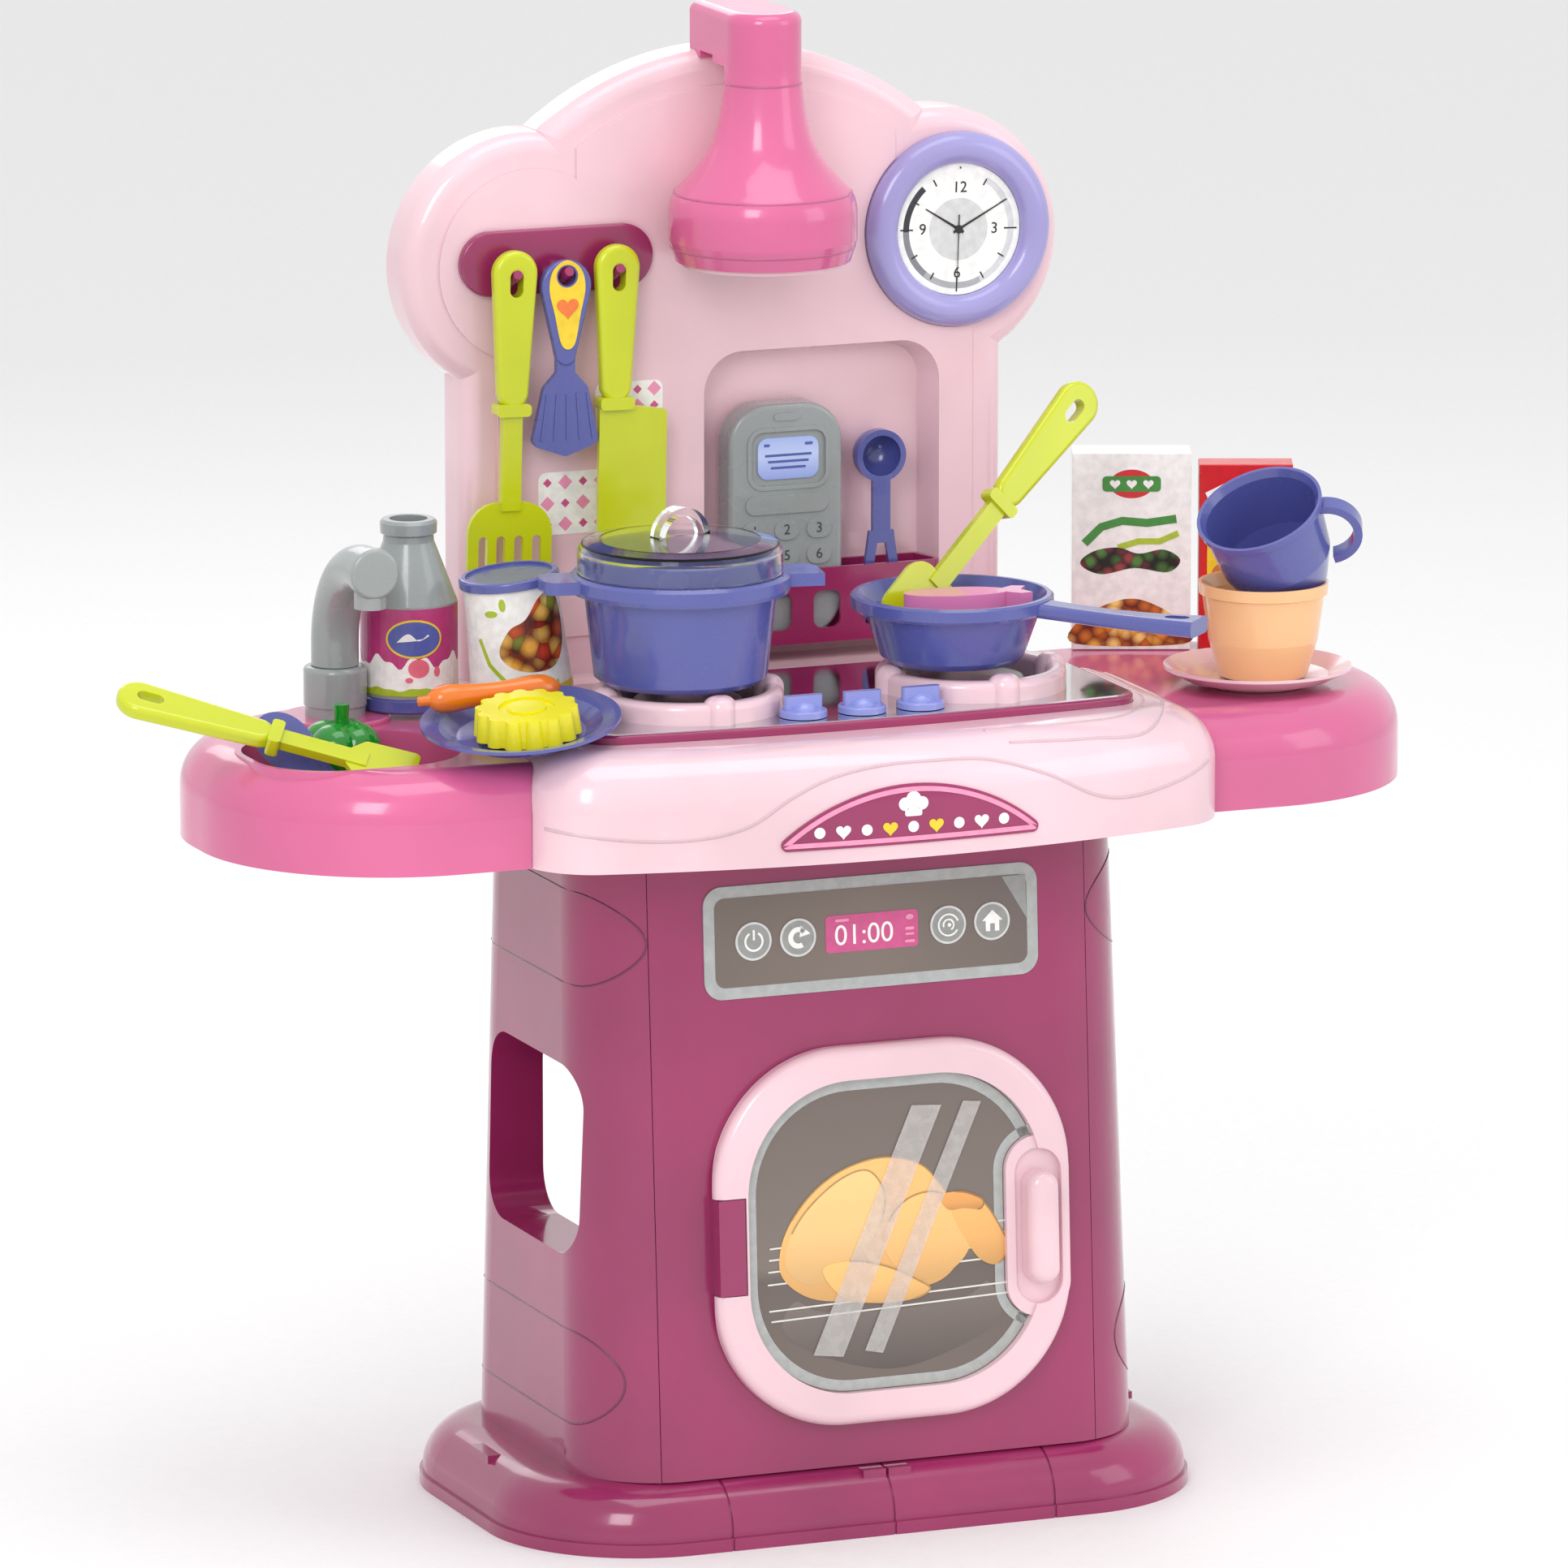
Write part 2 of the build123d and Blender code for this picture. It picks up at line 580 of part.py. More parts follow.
# =============================== faucet ===========================================================
def make_faucet():
    """Pink pad, grey collar, and the bent spout that swivels in the collar."""
    x, y = FAUCET
    with BuildPart() as pad:
        with BuildSketch(Plane.XY.offset(WING_TOP)):
            with Locations(FAUCET):
                Circle(26)
        extrude(amount=PAD_H)
        fillet(pad.faces().sort_by(Axis.Z)[-1].edges(), radius=1.5)
    save(pad.part, "faucet_pad")

    base_z = WING_TOP + PAD_H
    with BuildPart() as collar:
        with BuildSketch(Plane.XY.offset(base_z)):
            with Locations(FAUCET):
                Circle(14.2)
        extrude(amount=5)
        with BuildSketch(Plane.XY.offset(base_z + 5)):
            with Locations(FAUCET):
                Circle(14.9)
        extrude(amount=18.5)
        fillet(collar.faces().sort_by(Axis.Z)[-1].edges(), radius=2.5)
        with Locations((x, y, base_z + 23.5)):
            Hole(7.05, depth=18)
    save(collar.part, "faucet_collar")

    stem_z = base_z + 23.8
    bend_z = stem_z + FAUCET_RISE
    nozzle_y = y - FAUCET_BEND_R
    with BuildPart() as spout:
        with BuildLine(Plane.YZ.offset(x)) as path:
            rise = Line((y, stem_z), (y, bend_z))
            bend = CenterArc((y - FAUCET_BEND_R, bend_z), FAUCET_BEND_R, 0, 90)
            Line(bend @ 1, bend @ 1 + (-8, 0))
        with BuildSketch(Plane.XY.offset(stem_z)):
            with Locations(FAUCET):
                Circle(FAUCET_TUBE_R)
        sweep(path=path.line)
        with BuildSketch(Plane.XZ.offset(8 - nozzle_y)):
            with Locations((x, bend_z + FAUCET_BEND_R)):
                Circle(FAUCET_TUBE_R + 0.8)
        extrude(amount=6)
        fillet(spout.faces().sort_by(Axis.Y)[0].edges(), radius=2)
        with BuildSketch(Plane.XY.offset(bend_z + FAUCET_BEND_R - 17)):
            with Locations((x, nozzle_y - 6)):
                Circle(7.5)
                Circle(5, mode=Mode.SUBTRACT)
        extrude(amount=8)
        with BuildSketch(Plane.XY.offset(stem_z - 17)):
            with Locations(FAUCET):
                Circle(7)
        extrude(amount=17)
    save(spout.part, "faucet_spout")


# =============================== backsplash =======================================================
def splash_outline(inset):
    """Front outline of the backsplash: two round lobes and a dome, moved inward by inset."""
    with BuildSketch(Plane.XZ) as outline:
        with Locations((0, CENTRE_TOP)):
            Rectangle(2 * SPLASH_HALF_W, LOBE_Z - CENTRE_TOP, align=(Align.CENTER, Align.MIN))
        with Locations((-LOBE_X, LOBE_Z), (LOBE_X, LOBE_Z)):
            Circle(LOBE_R)
        with BuildLine():
            dome = ThreePointArc((-DOME_HALF_W, DOME_SIDE_Z), (0, DOME_TOP), (DOME_HALF_W, DOME_SIDE_Z))
            Polyline(dome @ 1, (DOME_HALF_W, LOBE_Z - 5), (-DOME_HALF_W, LOBE_Z - 5), dome @ 0)
        make_face()
        notches = outline.vertices().filter_by(lambda v: v.Z > CENTRE_TOP + 10)
        fillet(notches, radius=14)
        if inset:
            offset(amount=-inset, kind=Kind.INTERSECTION)
    return outline.sketch


def splash_solid():
    """Outer solid of the backsplash, with its rounded front rim."""
    with BuildPart() as splash:
        with BuildSketch(Plane.XZ.offset(-SPLASH_BACK)):
            add(splash_outline(0))
        extrude(amount=SPLASH_BACK - SPLASH_FRONT)
        rim = splash.faces().sort_by(Axis.Y)[0].edges().filter_by(lambda e: e.center().Z > CENTRE_TOP + 1)
        fillet(rim, radius=SPLASH_EDGE_R)
    return splash.part


def splash_hollow():
    """Inside of the backsplash shell, less the walls of the recess."""
    left, right, top = RECESS
    depth = SPLASH_BACK - SPLASH_FRONT
    with BuildPart() as hollow:
        with BuildSketch(Plane.XZ.offset(-SPLASH_BACK)):
            add(splash_outline(WALL))
        extrude(amount=depth - WALL)
        with BuildSketch(Plane.XZ.offset(-SPLASH_BACK)):
            with Locations(((left + right) / 2, CENTRE_TOP)):
                Rectangle(right - left + 2 * WALL, 2 * (top - CENTRE_TOP + WALL))
        extrude(amount=depth, mode=Mode.SUBTRACT)
    return hollow.part


def make_backsplash():
    """Open-backed shell with a rounded rim, a raised field and the recess behind the rack."""
    left, right, top = RECESS
    middle = (left + right) / 2
    width = right - left
    height = top - CENTRE_TOP
    with BuildPart() as splash:
        add(splash_solid())
        with BuildSketch(Plane.XZ.offset(-SPLASH_FRONT)):
            add(splash_outline(17))
            with Locations((0, CENTRE_TOP)):
                Rectangle(400, 17 + 20, align=(Align.CENTER, Align.CENTER), mode=Mode.SUBTRACT)
            with Locations((CLOCK_X, CLOCK_Z)):
                Circle(CLOCK_R + 0.6, mode=Mode.SUBTRACT)
        extrude(amount=FIELD_H)
        add(splash_hollow(), mode=Mode.SUBTRACT)
        with BuildSketch(Plane.XZ.offset(-SPLASH_BACK)):
            with Locations((middle, CENTRE_TOP - 1)):
                Rectangle(width, height, align=(Align.CENTER, Align.MIN))
        extrude(amount=SPLASH_BACK - SPLASH_FRONT - RECESS_DEPTH - WALL, mode=Mode.SUBTRACT)
        floor_plane = Plane.XZ.offset(-SPLASH_FRONT - RECESS_DEPTH)
        with BuildSketch(floor_plane):
            with Locations((middle, CENTRE_TOP - 50)):
                RectangleRounded(width - 10, height + 46, 16, align=(Align.CENTER, Align.MIN))
        with BuildSketch(floor_plane.offset(RECESS_DEPTH + FIELD_H + 0.5)):
            with Locations((middle, CENTRE_TOP - 50)):
                RectangleRounded(width, height + 50, 20, align=(Align.CENTER, Align.MIN))
        loft(mode=Mode.SUBTRACT)
    save(splash.part, "backsplash")


# =============================== hood =============================================================
def make_hood():
    """Bell-shaped hood on a neck, a cap that hooks over the backsplash, and the lamp lens."""
    with BuildPart() as hood:
        with BuildSketch(Plane.YZ) as profile:
            with BuildLine():
                side = Spline(
                    (HOOD_Y - NECK_R, 671),
                    (HOOD_Y - NECK_R - 1.5, 652),
                    (HOOD_Y - NECK_R - 7, 632),
                    (HOOD_Y - HOOD_R + 6, 615),
                    (HOOD_Y - HOOD_R, 601),
                    tangents=((0, -1), (0, -1)),
                )
                low = Polyline(side @ 1, (HOOD_Y - HOOD_R, 589), (HOOD_Y - HOOD_R + 3, 579))
                Polyline(low @ 1, (HOOD_Y, 579), (HOOD_Y, 671), side @ 0)
            make_face()
        revolve(axis=Axis((0, HOOD_Y, 0), (0, 0, 1)))
        with BuildSketch(Plane.XY.offset(575)):
            with Locations((0, HOOD_Y)):
                Circle(HOOD_R - 5.5)
        extrude(amount=14, mode=Mode.SUBTRACT)
        with BuildSketch(Plane.XY.offset(589)):
            with Locations((0, HOOD_Y)):
                Circle(HOOD_R - 5.5)
        extrude(amount=22, taper=30, mode=Mode.SUBTRACT)
        with BuildSketch(Plane.XY.offset(570)):
            with Locations((0, FIELD_Y)):
                Rectangle(120, 40, align=(Align.CENTER, Align.MIN))
        extrude(amount=110, mode=Mode.SUBTRACT)
    save(hood.part, "hood_body")

    with BuildPart() as cap:
        with BuildSketch(Plane.XY.offset(671)):
            with Locations((0, HOOD_Y)):
                Circle(NECK_R)
                Rectangle(2 * NECK_R, CAP_BACK - HOOD_Y, align=(Align.CENTER, Align.MIN))
        extrude(amount=CAP_TOP - 671)
        fillet(cap.faces().sort_by(Axis.Z)[-1].edges(), radius=5)
        with BuildSketch(Plane.XY.offset(660)):
            with Locations((0, HOOD_Y + NECK_R)):
                Rectangle(60, SPLASH_FRONT - HOOD_Y - NECK_R, align=(Align.CENTER, Align.MIN))
        extrude(amount=DOME_TOP - 660 - 0.5, mode=Mode.SUBTRACT)
        add(splash_solid(), mode=Mode.SUBTRACT)
    save(cap.part, "hood_cap")

    with BuildPart() as lens:
        with BuildSketch(Plane.XY.offset(577)):
            with Locations((0, HOOD_Y)):
                Circle(HOOD_R - 5.6)
            with Locations((0, FIELD_Y)):
                Rectangle(120, 40, align=(Align.CENTER, Align.MIN), mode=Mode.SUBTRACT)
        extrude(amount=3)
    save(lens.part, "hood_lens")


# =============================== clock, rail and rack ============================================
def make_clock():
    """Clock ring with the web behind it, and the printed dial."""
    axis = Axis((CLOCK_X, 0, CLOCK_Z), (0, 1, 0))
    with BuildPart() as ring:
        with BuildSketch(Plane.XY.offset(CLOCK_Z)):
            with BuildLine():
                crest = Spline(
                    (CLOCK_X + CLOCK_R, SPLASH_FRONT - 3),
                    (CLOCK_X + CLOCK_R - 3.5, SPLASH_FRONT - 8.5),
                    (CLOCK_X + CLOCK_R - 9, SPLASH_FRONT - 9.5),
                    (CLOCK_X + DIAL_R + 0.2, SPLASH_FRONT - 5),
                )
                Polyline(
                    crest @ 1,
                    (CLOCK_X + DIAL_R + 0.2, SPLASH_FRONT - 2.5),
                    (CLOCK_X, SPLASH_FRONT - 2.5),
                    (CLOCK_X, SPLASH_FRONT),
                    (CLOCK_X + CLOCK_R, SPLASH_FRONT),
                    crest @ 0,
                )
            make_face()
        revolve(axis=axis)
    save(ring.part, "clock_ring")

    with BuildPart() as dial:
        with BuildSketch(Plane.XZ.offset(2.5 - SPLASH_FRONT)):
            with Locations((CLOCK_X, CLOCK_Z)):
                Circle(DIAL_R)
        extrude(amount=1)
    save(dial.part, "clock_dial")


def make_rail():
    """Stadium-shaped rail with its three pegs, which point forward and up."""
    x, z, width, height = RAIL
    rise = radians(HOOK_RISE)
    with BuildPart() as rail:
        with BuildSketch(Plane.XZ.offset(-FIELD_Y)):
            with Locations((x, z)):
                SlotOverall(width, height)
        extrude(amount=RAIL_T)
        fillet(rail.faces().sort_by(Axis.Y)[0].edges(), radius=1.5)
        for hook_x in HOOK_X:
            root = Plane(
                origin=(hook_x, FIELD_Y - RAIL_T + 1, HOOK_Z - tan(rise)), z_dir=(0, -cos(rise), sin(rise))
            )
            with BuildSketch(root):
                Circle(HOOK_R)
            extrude(amount=PEG_LENGTH)
    save(rail.part, "hook_rail")


def rack_outline(inset):
    """Plan of the rack: wider at its front than at the back of the recess."""
    left, right, _ = RECESS
    middle = (left + right) / 2
    half_front = (right - left) / 2 - 0.6 - inset
    half_back = half_front - 5
    front = RACK_FRONT + inset
    back = SPLASH_FRONT + RECESS_DEPTH - 0.6 - inset
    with BuildSketch() as plan:
        with BuildLine():
            Polyline(
                (middle - half_front, front), (middle + half_front, front),
                (middle + half_back, back), (middle - half_back, back), close=True,
            )
        make_face()
        fillet(plan.vertices().group_by(Axis.Y)[0], radius=4 - inset / 2)
    return plan.sketch


def make_rack():
    """Open tray that stands in the recess, with a row of slots in its front."""
    wall = 2.2
    with BuildPart() as rack:
        with BuildSketch(Plane.XY.offset(RACK_BOTTOM)):
            add(rack_outline(0))
        extrude(amount=RACK_TOP - RACK_BOTTOM)
        with BuildSketch(Plane.XY.offset(RACK_BOTTOM + wall)):
            add(rack_outline(wall))
        extrude(amount=RACK_TOP - RACK_BOTTOM, mode=Mode.SUBTRACT)
        with BuildSketch(Plane.XZ.offset(-RACK_FRONT - 4)):
            with Locations(((RECESS[0] + RECESS[1]) / 2, RACK_BOTTOM + 16)):
                with GridLocations(25, 1, 5, 1):
                    RectangleRounded(14, 18, 4.5)
        extrude(amount=8, mode=Mode.SUBTRACT)
    save(rack.part, "shelf_rack")


def make_phone():
    """Toy telephone with a display window and raised keys, standing in the rack."""
    x, width, height, thick = PHONE
    floor = RACK_BOTTOM + 2.5
    front = RACK_FRONT + 3.6
    with BuildPart() as phone:
        with BuildSketch(Plane.XZ.offset(-front - thick)):
            with Locations((x, floor + height / 2)):
                RectangleRounded(width, height, 19)
        extrude(amount=thick)
        fillet(phone.faces().sort_by(Axis.Y)[0].edges(), radius=2.5)
        with BuildSketch(Plane.XZ.offset(-front - 1.2)):
            with Locations((x + 1, floor + height - 26)):
                RectangleRounded(42, 30, 8)
        extrude(amount=4, mode=Mode.SUBTRACT)
        with BuildSketch(Plane.XZ.offset(-front - 0.2)):
            with Locations((x, floor + height - 48)):
                SlotOverall(42, 9)
            with Locations((x, floor + height - 73)):
                with GridLocations(16.5, 12.5, 3, 3):
                    SlotOverall(12.5, 9.5)
        extrude(amount=1.1)
        with BuildSketch(Plane.XZ.offset(-front - 0.2)):
            with Locations((x, floor + height - 6)):
                SlotOverall(13, 3.6)
        extrude(amount=0.9)
    save(phone.part, "phone")

    with BuildPart() as screen:
        with BuildSketch(Plane.XZ.offset(-front - 1.2)):
            with Locations((x + 1, floor + height - 26)):
                RectangleRounded(31, 20, 5)
        extrude(amount=1)
    save(screen.part, "phone_screen")


def make_measuring_spoon():
    """Round measuring spoon that stands on its looped handle in the rack."""
    x, bowl_z, bowl_r = SPOON
    floor = RACK_BOTTOM + 2.6
    with BuildPart() as spoon:
        with BuildSketch(Plane.XZ.offset(-SPOON_Y)) as stem:
            with Locations((x, bowl_z)):
                Circle(bowl_r)
            with Locations((x, bowl_z - 22)):
                Rectangle(9, 34)
            with Locations((x, floor)):
                Trapezoid(26, bowl_z - 36 - floor, 82, align=(Align.CENTER, Align.MIN))
                Trapezoid(18, bowl_z - 42 - floor, 81, align=(Align.CENTER, Align.MIN), mode=Mode.SUBTRACT)
            with Locations((x, floor + 1.5)):
                Rectangle(22, 3)
        extrude(amount=2.6)
        with Locations((x, SPOON_Y + 1.5, bowl_z)):
            Sphere(bowl_r)
            Sphere(bowl_r - 2, mode=Mode.SUBTRACT)
        with BuildSketch(Plane.XZ.offset(-SPOON_Y + 2.6)):
            with Locations((x, bowl_z)):
                Circle(30)
        extrude(amount=30, mode=Mode.SUBTRACT)
    save(spoon.part, "measuring_spoon")


# =============================== hanging tools ====================================================
def tool_plane(x, z, tilt, y=None):
    """Plane of a flat tool: the origin is its hanging hole and local Y runs up the handle."""
    lean = radians(tilt)
    depth = TOOL_Y if y is None else y
    return Plane(origin=(x, depth, z), x_dir=(cos(lean), 0, sin(lean)), z_dir=(0, -1, 0))


def lime_handle(plane):
    """Moulded lime handle with an oval hanging hole at the plane's origin and a collar below."""
    with BuildPart() as handle:
        with BuildSketch(plane.offset(-HANDLE_T / 2)):
            with Locations((0, 4.5)):
                Circle(11)
            with Locations((0, -52)):
                Circle(7.6)
            make_hull()
        extrude(amount=HANDLE_T)
        fillet(handle.edges().filter_by(lambda e: e.length > 30), radius=2.6)
        with BuildSketch(plane.offset(-HANDLE_T / 2 - 0.6)):
            with Locations((0, -60)):
                RectangleRounded(17, 6, 2)
        extrude(amount=HANDLE_T + 1.2)
        with BuildSketch(plane.offset(-HANDLE_T)):
            SlotOverall(12.8, 6.6, rotation=90)
        extrude(amount=2 * HANDLE_T, mode=Mode.SUBTRACT)
    return handle.part


def fork_part(plane, head_drop):
    """Slotted turner: lime handle, round shaft and a four-slot head."""
    with BuildPart() as fork:
        add(lime_handle(plane))
        with BuildSketch(plane.offset(-2.6)):
            with Locations((0, -60)):
                Rectangle(9.5, head_drop - 56, align=(Align.CENTER, Align.MAX))
        extrude(amount=5.2)
        with BuildSketch(plane.offset(-1.4)) as head:
            with Locations((0, -head_drop)):
                Rectangle(42, 56, align=(Align.CENTER, Align.MAX))
            fillet(head.vertices().group_by(Axis.Y)[-1], radius=15)
            fillet(head.vertices().group_by(Axis.Y)[0], radius=6)
            with Locations((0, -head_drop - 33)):
                with GridLocations(9, 1, 4, 1):
                    SlotOverall(34, 4.4, rotation=90, mode=Mode.SUBTRACT)
        extrude(amount=2.8)
    return fork.part


def cleaver_part(plane):
    """Toy cleaver: lime handle and a flat blade that hangs to one side."""
    with BuildPart() as cleaver:
        add(lime_handle(plane))
        with BuildSketch(plane.offset(-1.4)) as blade:
            with BuildLine():
                Polyline((-8, -61), (-8, -130), (26, -134), (26, -64), (4, -61), close=True)
            make_face()
            fillet(blade.vertices(), radius=2)
            with Locations((0, -60)):
                Rectangle(12, 6)
        extrude(amount=2.8)
    return cleaver.part


def make_hanging_tools():
    """Fork, spatula and cleaver on the three pegs."""
    fork_x, spatula_x, cleaver_x = HOOK_X
    save(fork_part(tool_plane(fork_x, OVAL_HOLE_Z, -1.5), 104), "hanging_fork")
    save(cleaver_part(tool_plane(cleaver_x, OVAL_HOLE_Z, -1.0)), "hanging_cleaver")

    plane = tool_plane(spatula_x, ROUND_HOLE_Z, -0.6)
    with BuildPart() as spatula:
        with BuildSketch(plane.offset(-2.5)):
            with Locations((0, -5)):
                Circle(12.6)
            with Locations((0, -38)):
                Circle(5)
            make_hull()
        extrude(amount=5)
        fillet(spatula.edges().filter_by(lambda e: e.length > 30), radius=1.5)
        with BuildSketch(plane.offset(-1.8)) as blade:
            with BuildLine():
                Polyline((-4.6, -34), (-4.6, -46), (-11, -53), (-17, -80), (0, -86), (17, -80), (11, -53),
                         (4.6, -46), (4.6, -34), close=True)
            make_face()
            fillet(blade.vertices().filter_by(lambda v: v.Y < -50), radius=4)
        extrude(amount=3.6)
        with BuildSketch(plane.offset(-6)):
            Circle(4.6)
        extrude(amount=12, mode=Mode.SUBTRACT)
    save(spatula.part, "hanging_spatula")


# =============================== pots =============================================================
def turned(points, centre):
    """Solid of revolution about the vertical line through centre, from (radius, height) points."""
    x, y = centre
    with BuildPart() as part:
        with BuildSketch(Plane.XZ.offset(-y)):
            with BuildLine():
                Polyline(*[(x + r, z) for r, z in points], close=True)
            make_face()
        revolve(axis=Axis((x, y, 0), (0, 0, 1)))
    return part.part


def make_pot():
    """Two-handled pot with a collar above its flange, and a clear lid with a loop on top."""
    x, y = POT
    z = BURNER_TOP + REST_GAP
    with BuildPart() as pot:
        add(turned([
            (0, z), (37, z), (40.5, z + 3), (45, z + 43), (51, z + 43), (51.5, z + 45), (51.5, z + 50),
            (50, z + 51.5), (46, z + 51.5), (46, z + 60), (45, z + 61), (43.5, z + 61), (42.5, z + 44),
            (38, z + 5), (36, z + 3), (0, z + 3),
        ], POT))
        for side in (-1, 1):
            turn = radians(POT_TURN)
            grip = Plane(
                origin=(x + side * 48 * cos(turn), y + side * 48 * sin(turn), z + 44.5),
                x_dir=(side * cos(turn), side * sin(turn), 0), z_dir=(0, 0, 1),
            )
            with BuildSketch(grip) as tab:
                Rectangle(18, 26, align=(Align.MIN, Align.CENTER))
                fillet(tab.vertices().sort_by_distance(grip.origin)[-2:], radius=7)
            extrude(amount=6)
    save(pot.part, "pot")

    seat = z + 52
    with BuildPart() as lid:
        add(turned([
            (46.4, seat), (48, seat), (48, seat + 10.5), (46, seat + 13.5), (38, seat + 15), (0, seat + 16.5),
            (0, seat + 14.5), (37, seat + 13.2), (45, seat + 11.8), (46.4, seat + 9),
        ], POT))
        turn = radians(LID_TURN)
        loop_plane = Plane(
            origin=(x, y, seat + 15), x_dir=(cos(turn), sin(turn), 0), z_dir=(sin(turn), -cos(turn), 0)
        )
        with BuildSketch(loop_plane.offset(-4)) as loop:
            with Locations((0, 0)):
                Ellipse(14, 15)
                Ellipse(10.5, 11, mode=Mode.SUBTRACT)
            with Locations((0, -20)):
                Rectangle(60, 40, mode=Mode.SUBTRACT)
        extrude(amount=8)
    save(lid.part, "pot_lid")


def make_pan():
    """Frying pan with its handle, the turner leaning in it and the fish."""
    x, y = PAN
    z = BURNER_TOP + REST_GAP
    turn = radians(PAN_TURN)
    out = Vector(cos(turn), sin(turn), 0)
    with BuildPart() as pan:
        add(turned([
            (0, z), (31, z), (34, z + 3), (41.5, z + 24), (46, z + 24.5), (47.7, z + 26), (47.7, z + 31),
            (46.5, z + 32), (44.5, z + 32), (39.5, z + 24), (32, z + 4.5), (30, z + 3), (0, z + 3),
        ], PAN))
        root = Vector(x, y, z + 27.5) + out * 44
        across = (-sin(turn), cos(turn), 0)
        for reach, drop, width, height in ((0, 0, 17, 7), (30, 2, 15, 7), (80, 3, 22, 8)):
            with BuildSketch(Plane(origin=root + out * reach - (0, 0, drop), x_dir=across, z_dir=out)):
                RectangleRounded(width, height, height * 0.4)
        loft()
        add(turned([
            (0, z + 3), (30, z + 3), (32, z + 4.5), (39.5, z + 24), (44.5, z + 33), (0, z + 33),
        ], PAN), mode=Mode.SUBTRACT)
        with BuildSketch(Plane(origin=root + out * 69 - (0, 0, 20), x_dir=out, z_dir=(0, 0, 1))):
            SlotOverall(12, 7)
        extrude(amount=40, mode=Mode.SUBTRACT)
    save(pan.part, "pan")

    heading = Vector(*TURNER_TOP) - Vector(*TURNER_FOOT)
    side_dir = heading.cross(Vector(0.25, -1, 0.3)).normalized()
    blade_dir = side_dir.cross(heading).normalized()
    top = Plane(origin=TURNER_TOP, x_dir=side_dir, z_dir=blade_dir)
    length = heading.length
    with BuildPart() as turner:
        add(lime_handle(top))
        with BuildSketch(top.offset(-2.6)):
            with Locations((0, -60)):
                Rectangle(9.5, length - 78, align=(Align.CENTER, Align.MAX))
        extrude(amount=5.2)
        with BuildSketch(top.offset(-1.4)) as head:
            with Locations((0, 24 - length)):
                Rectangle(34, 36, align=(Align.CENTER, Align.MAX))
            fillet(head.vertices(), radius=10)
        extrude(amount=2.8)
    save(turner.part, "pan_turner")

    with BuildPart() as fish:
        fish_turn = radians(FISH[3])
        with BuildSketch(Plane(origin=FISH[:3], x_dir=(cos(fish_turn), sin(fish_turn), 0), z_dir=(0, 0, 1))):
            Ellipse(25, 11.5)
            with BuildLine():
                Polyline((18, 0), (29, 10), (35, 8), (31, 0), (35, -8), (29, -10), close=True)
            make_face()
        extrude(amount=9)
    save(fish.part, "toy_fish")


# =============================== things on the wings ==============================================
def make_dishes():
    """Saucer, orange cup and the blue mug tipped into it, and the blue plate."""
    z = WING_TOP + REST_GAP
    save(turned([
        (0, z), (24, z), (25, z + 1), (35, z + 3), (44.6, z + 8), (44.6, z + 9.5), (34, z + 5), (23, z + 3),
        (0, z + 3),
    ], SAUCER), "saucer")

    foot = z + 3 + REST_GAP
    save(turned([
        (0, foot), (19, foot), (21, foot + 1), (26, foot + 18), (29, foot + 40), (30.6, foot + 40.5),
        (30.8, foot + 46), (29.4, foot + 46), (27.2, foot + 40), (24.2, foot + 18), (19.5, foot + 3.5),
        (18, foot + 2.2), (0, foot + 2.2),
    ], CUP), "orange_cup")

    mug_plane = Plane(origin=MUG[:3], x_dir=(0.8, -0.35, 0), z_dir=MUG[3:])
    with BuildPart() as mug:
        with BuildSketch(Plane.XZ):
            with BuildLine():
                Polyline((0, 0), (18, 0), (20.5, 1.5), (26.5, 18), (29, 44), (30.4, 44.5), (30.6, 47.5),
                         (29, 47.5), (27, 44), (24.6, 18), (19, 3.5), (17.5, 2.2), (0, 2.2), close=True)
            make_face()
        revolve(axis=Axis.Z)
        with BuildSketch(Plane.XZ.offset(-4)):
            with Locations((27, 26)):
                Ellipse(17, 17)
                Ellipse(13, 13, mode=Mode.SUBTRACT)
            with Locations((10, 26)):
                Rectangle(33, 60, mode=Mode.SUBTRACT)
        extrude(amount=8)
    save(mug_plane.location * mug.part, "blue_mug")

    dish = Plane(origin=PLATE[:3], x_dir=(1, 0, 0.1), z_dir=PLATE[3:])
    save(turned([
        (0, 0), (26, 0), (27.5, 1), (38, 6), (46.5, 8.6), (46.5, 10.2), (38, 8), (PLATE_FLAT_R, 3), (0, 3),
    ], (0, 0)).moved(dish.location), "blue_plate")

    with BuildPart() as jelly:
        with BuildSketch(Plane.XY.offset(JELLY[2])):
            with Locations(JELLY[:2]):
                Circle(JELLY_R + 2)
                with PolarLocations(JELLY_R, 14):
                    Circle(4.6)
        extrude(amount=13, taper=6)
        with BuildSketch(Plane.XY.offset(JELLY[2] + 11.5)):
            with Locations(JELLY[:2]):
                Circle(13)
                Circle(9, mode=Mode.SUBTRACT)
        extrude(amount=3, mode=Mode.SUBTRACT)
    save(jelly.part.moved(dish.location), "jelly_cake")

    with BuildPart() as carrot:
        with BuildSketch(Plane.XZ):
            with BuildLine():
                flank = Spline((0, -35), (4.2, -31), (5.6, -10), (6.2, 15), (5.2, 28), (2.6, 31))
                Polyline(flank @ 1, (2.2, 36), (0, 36.6), (0, -35))
            make_face()
        revolve(axis=Axis.Z)
    lying = Location(CARROT, (0, CARROT_TURN, CARROT_DIP))
    save(carrot.part.moved(lying).moved(dish.location), "carrot")


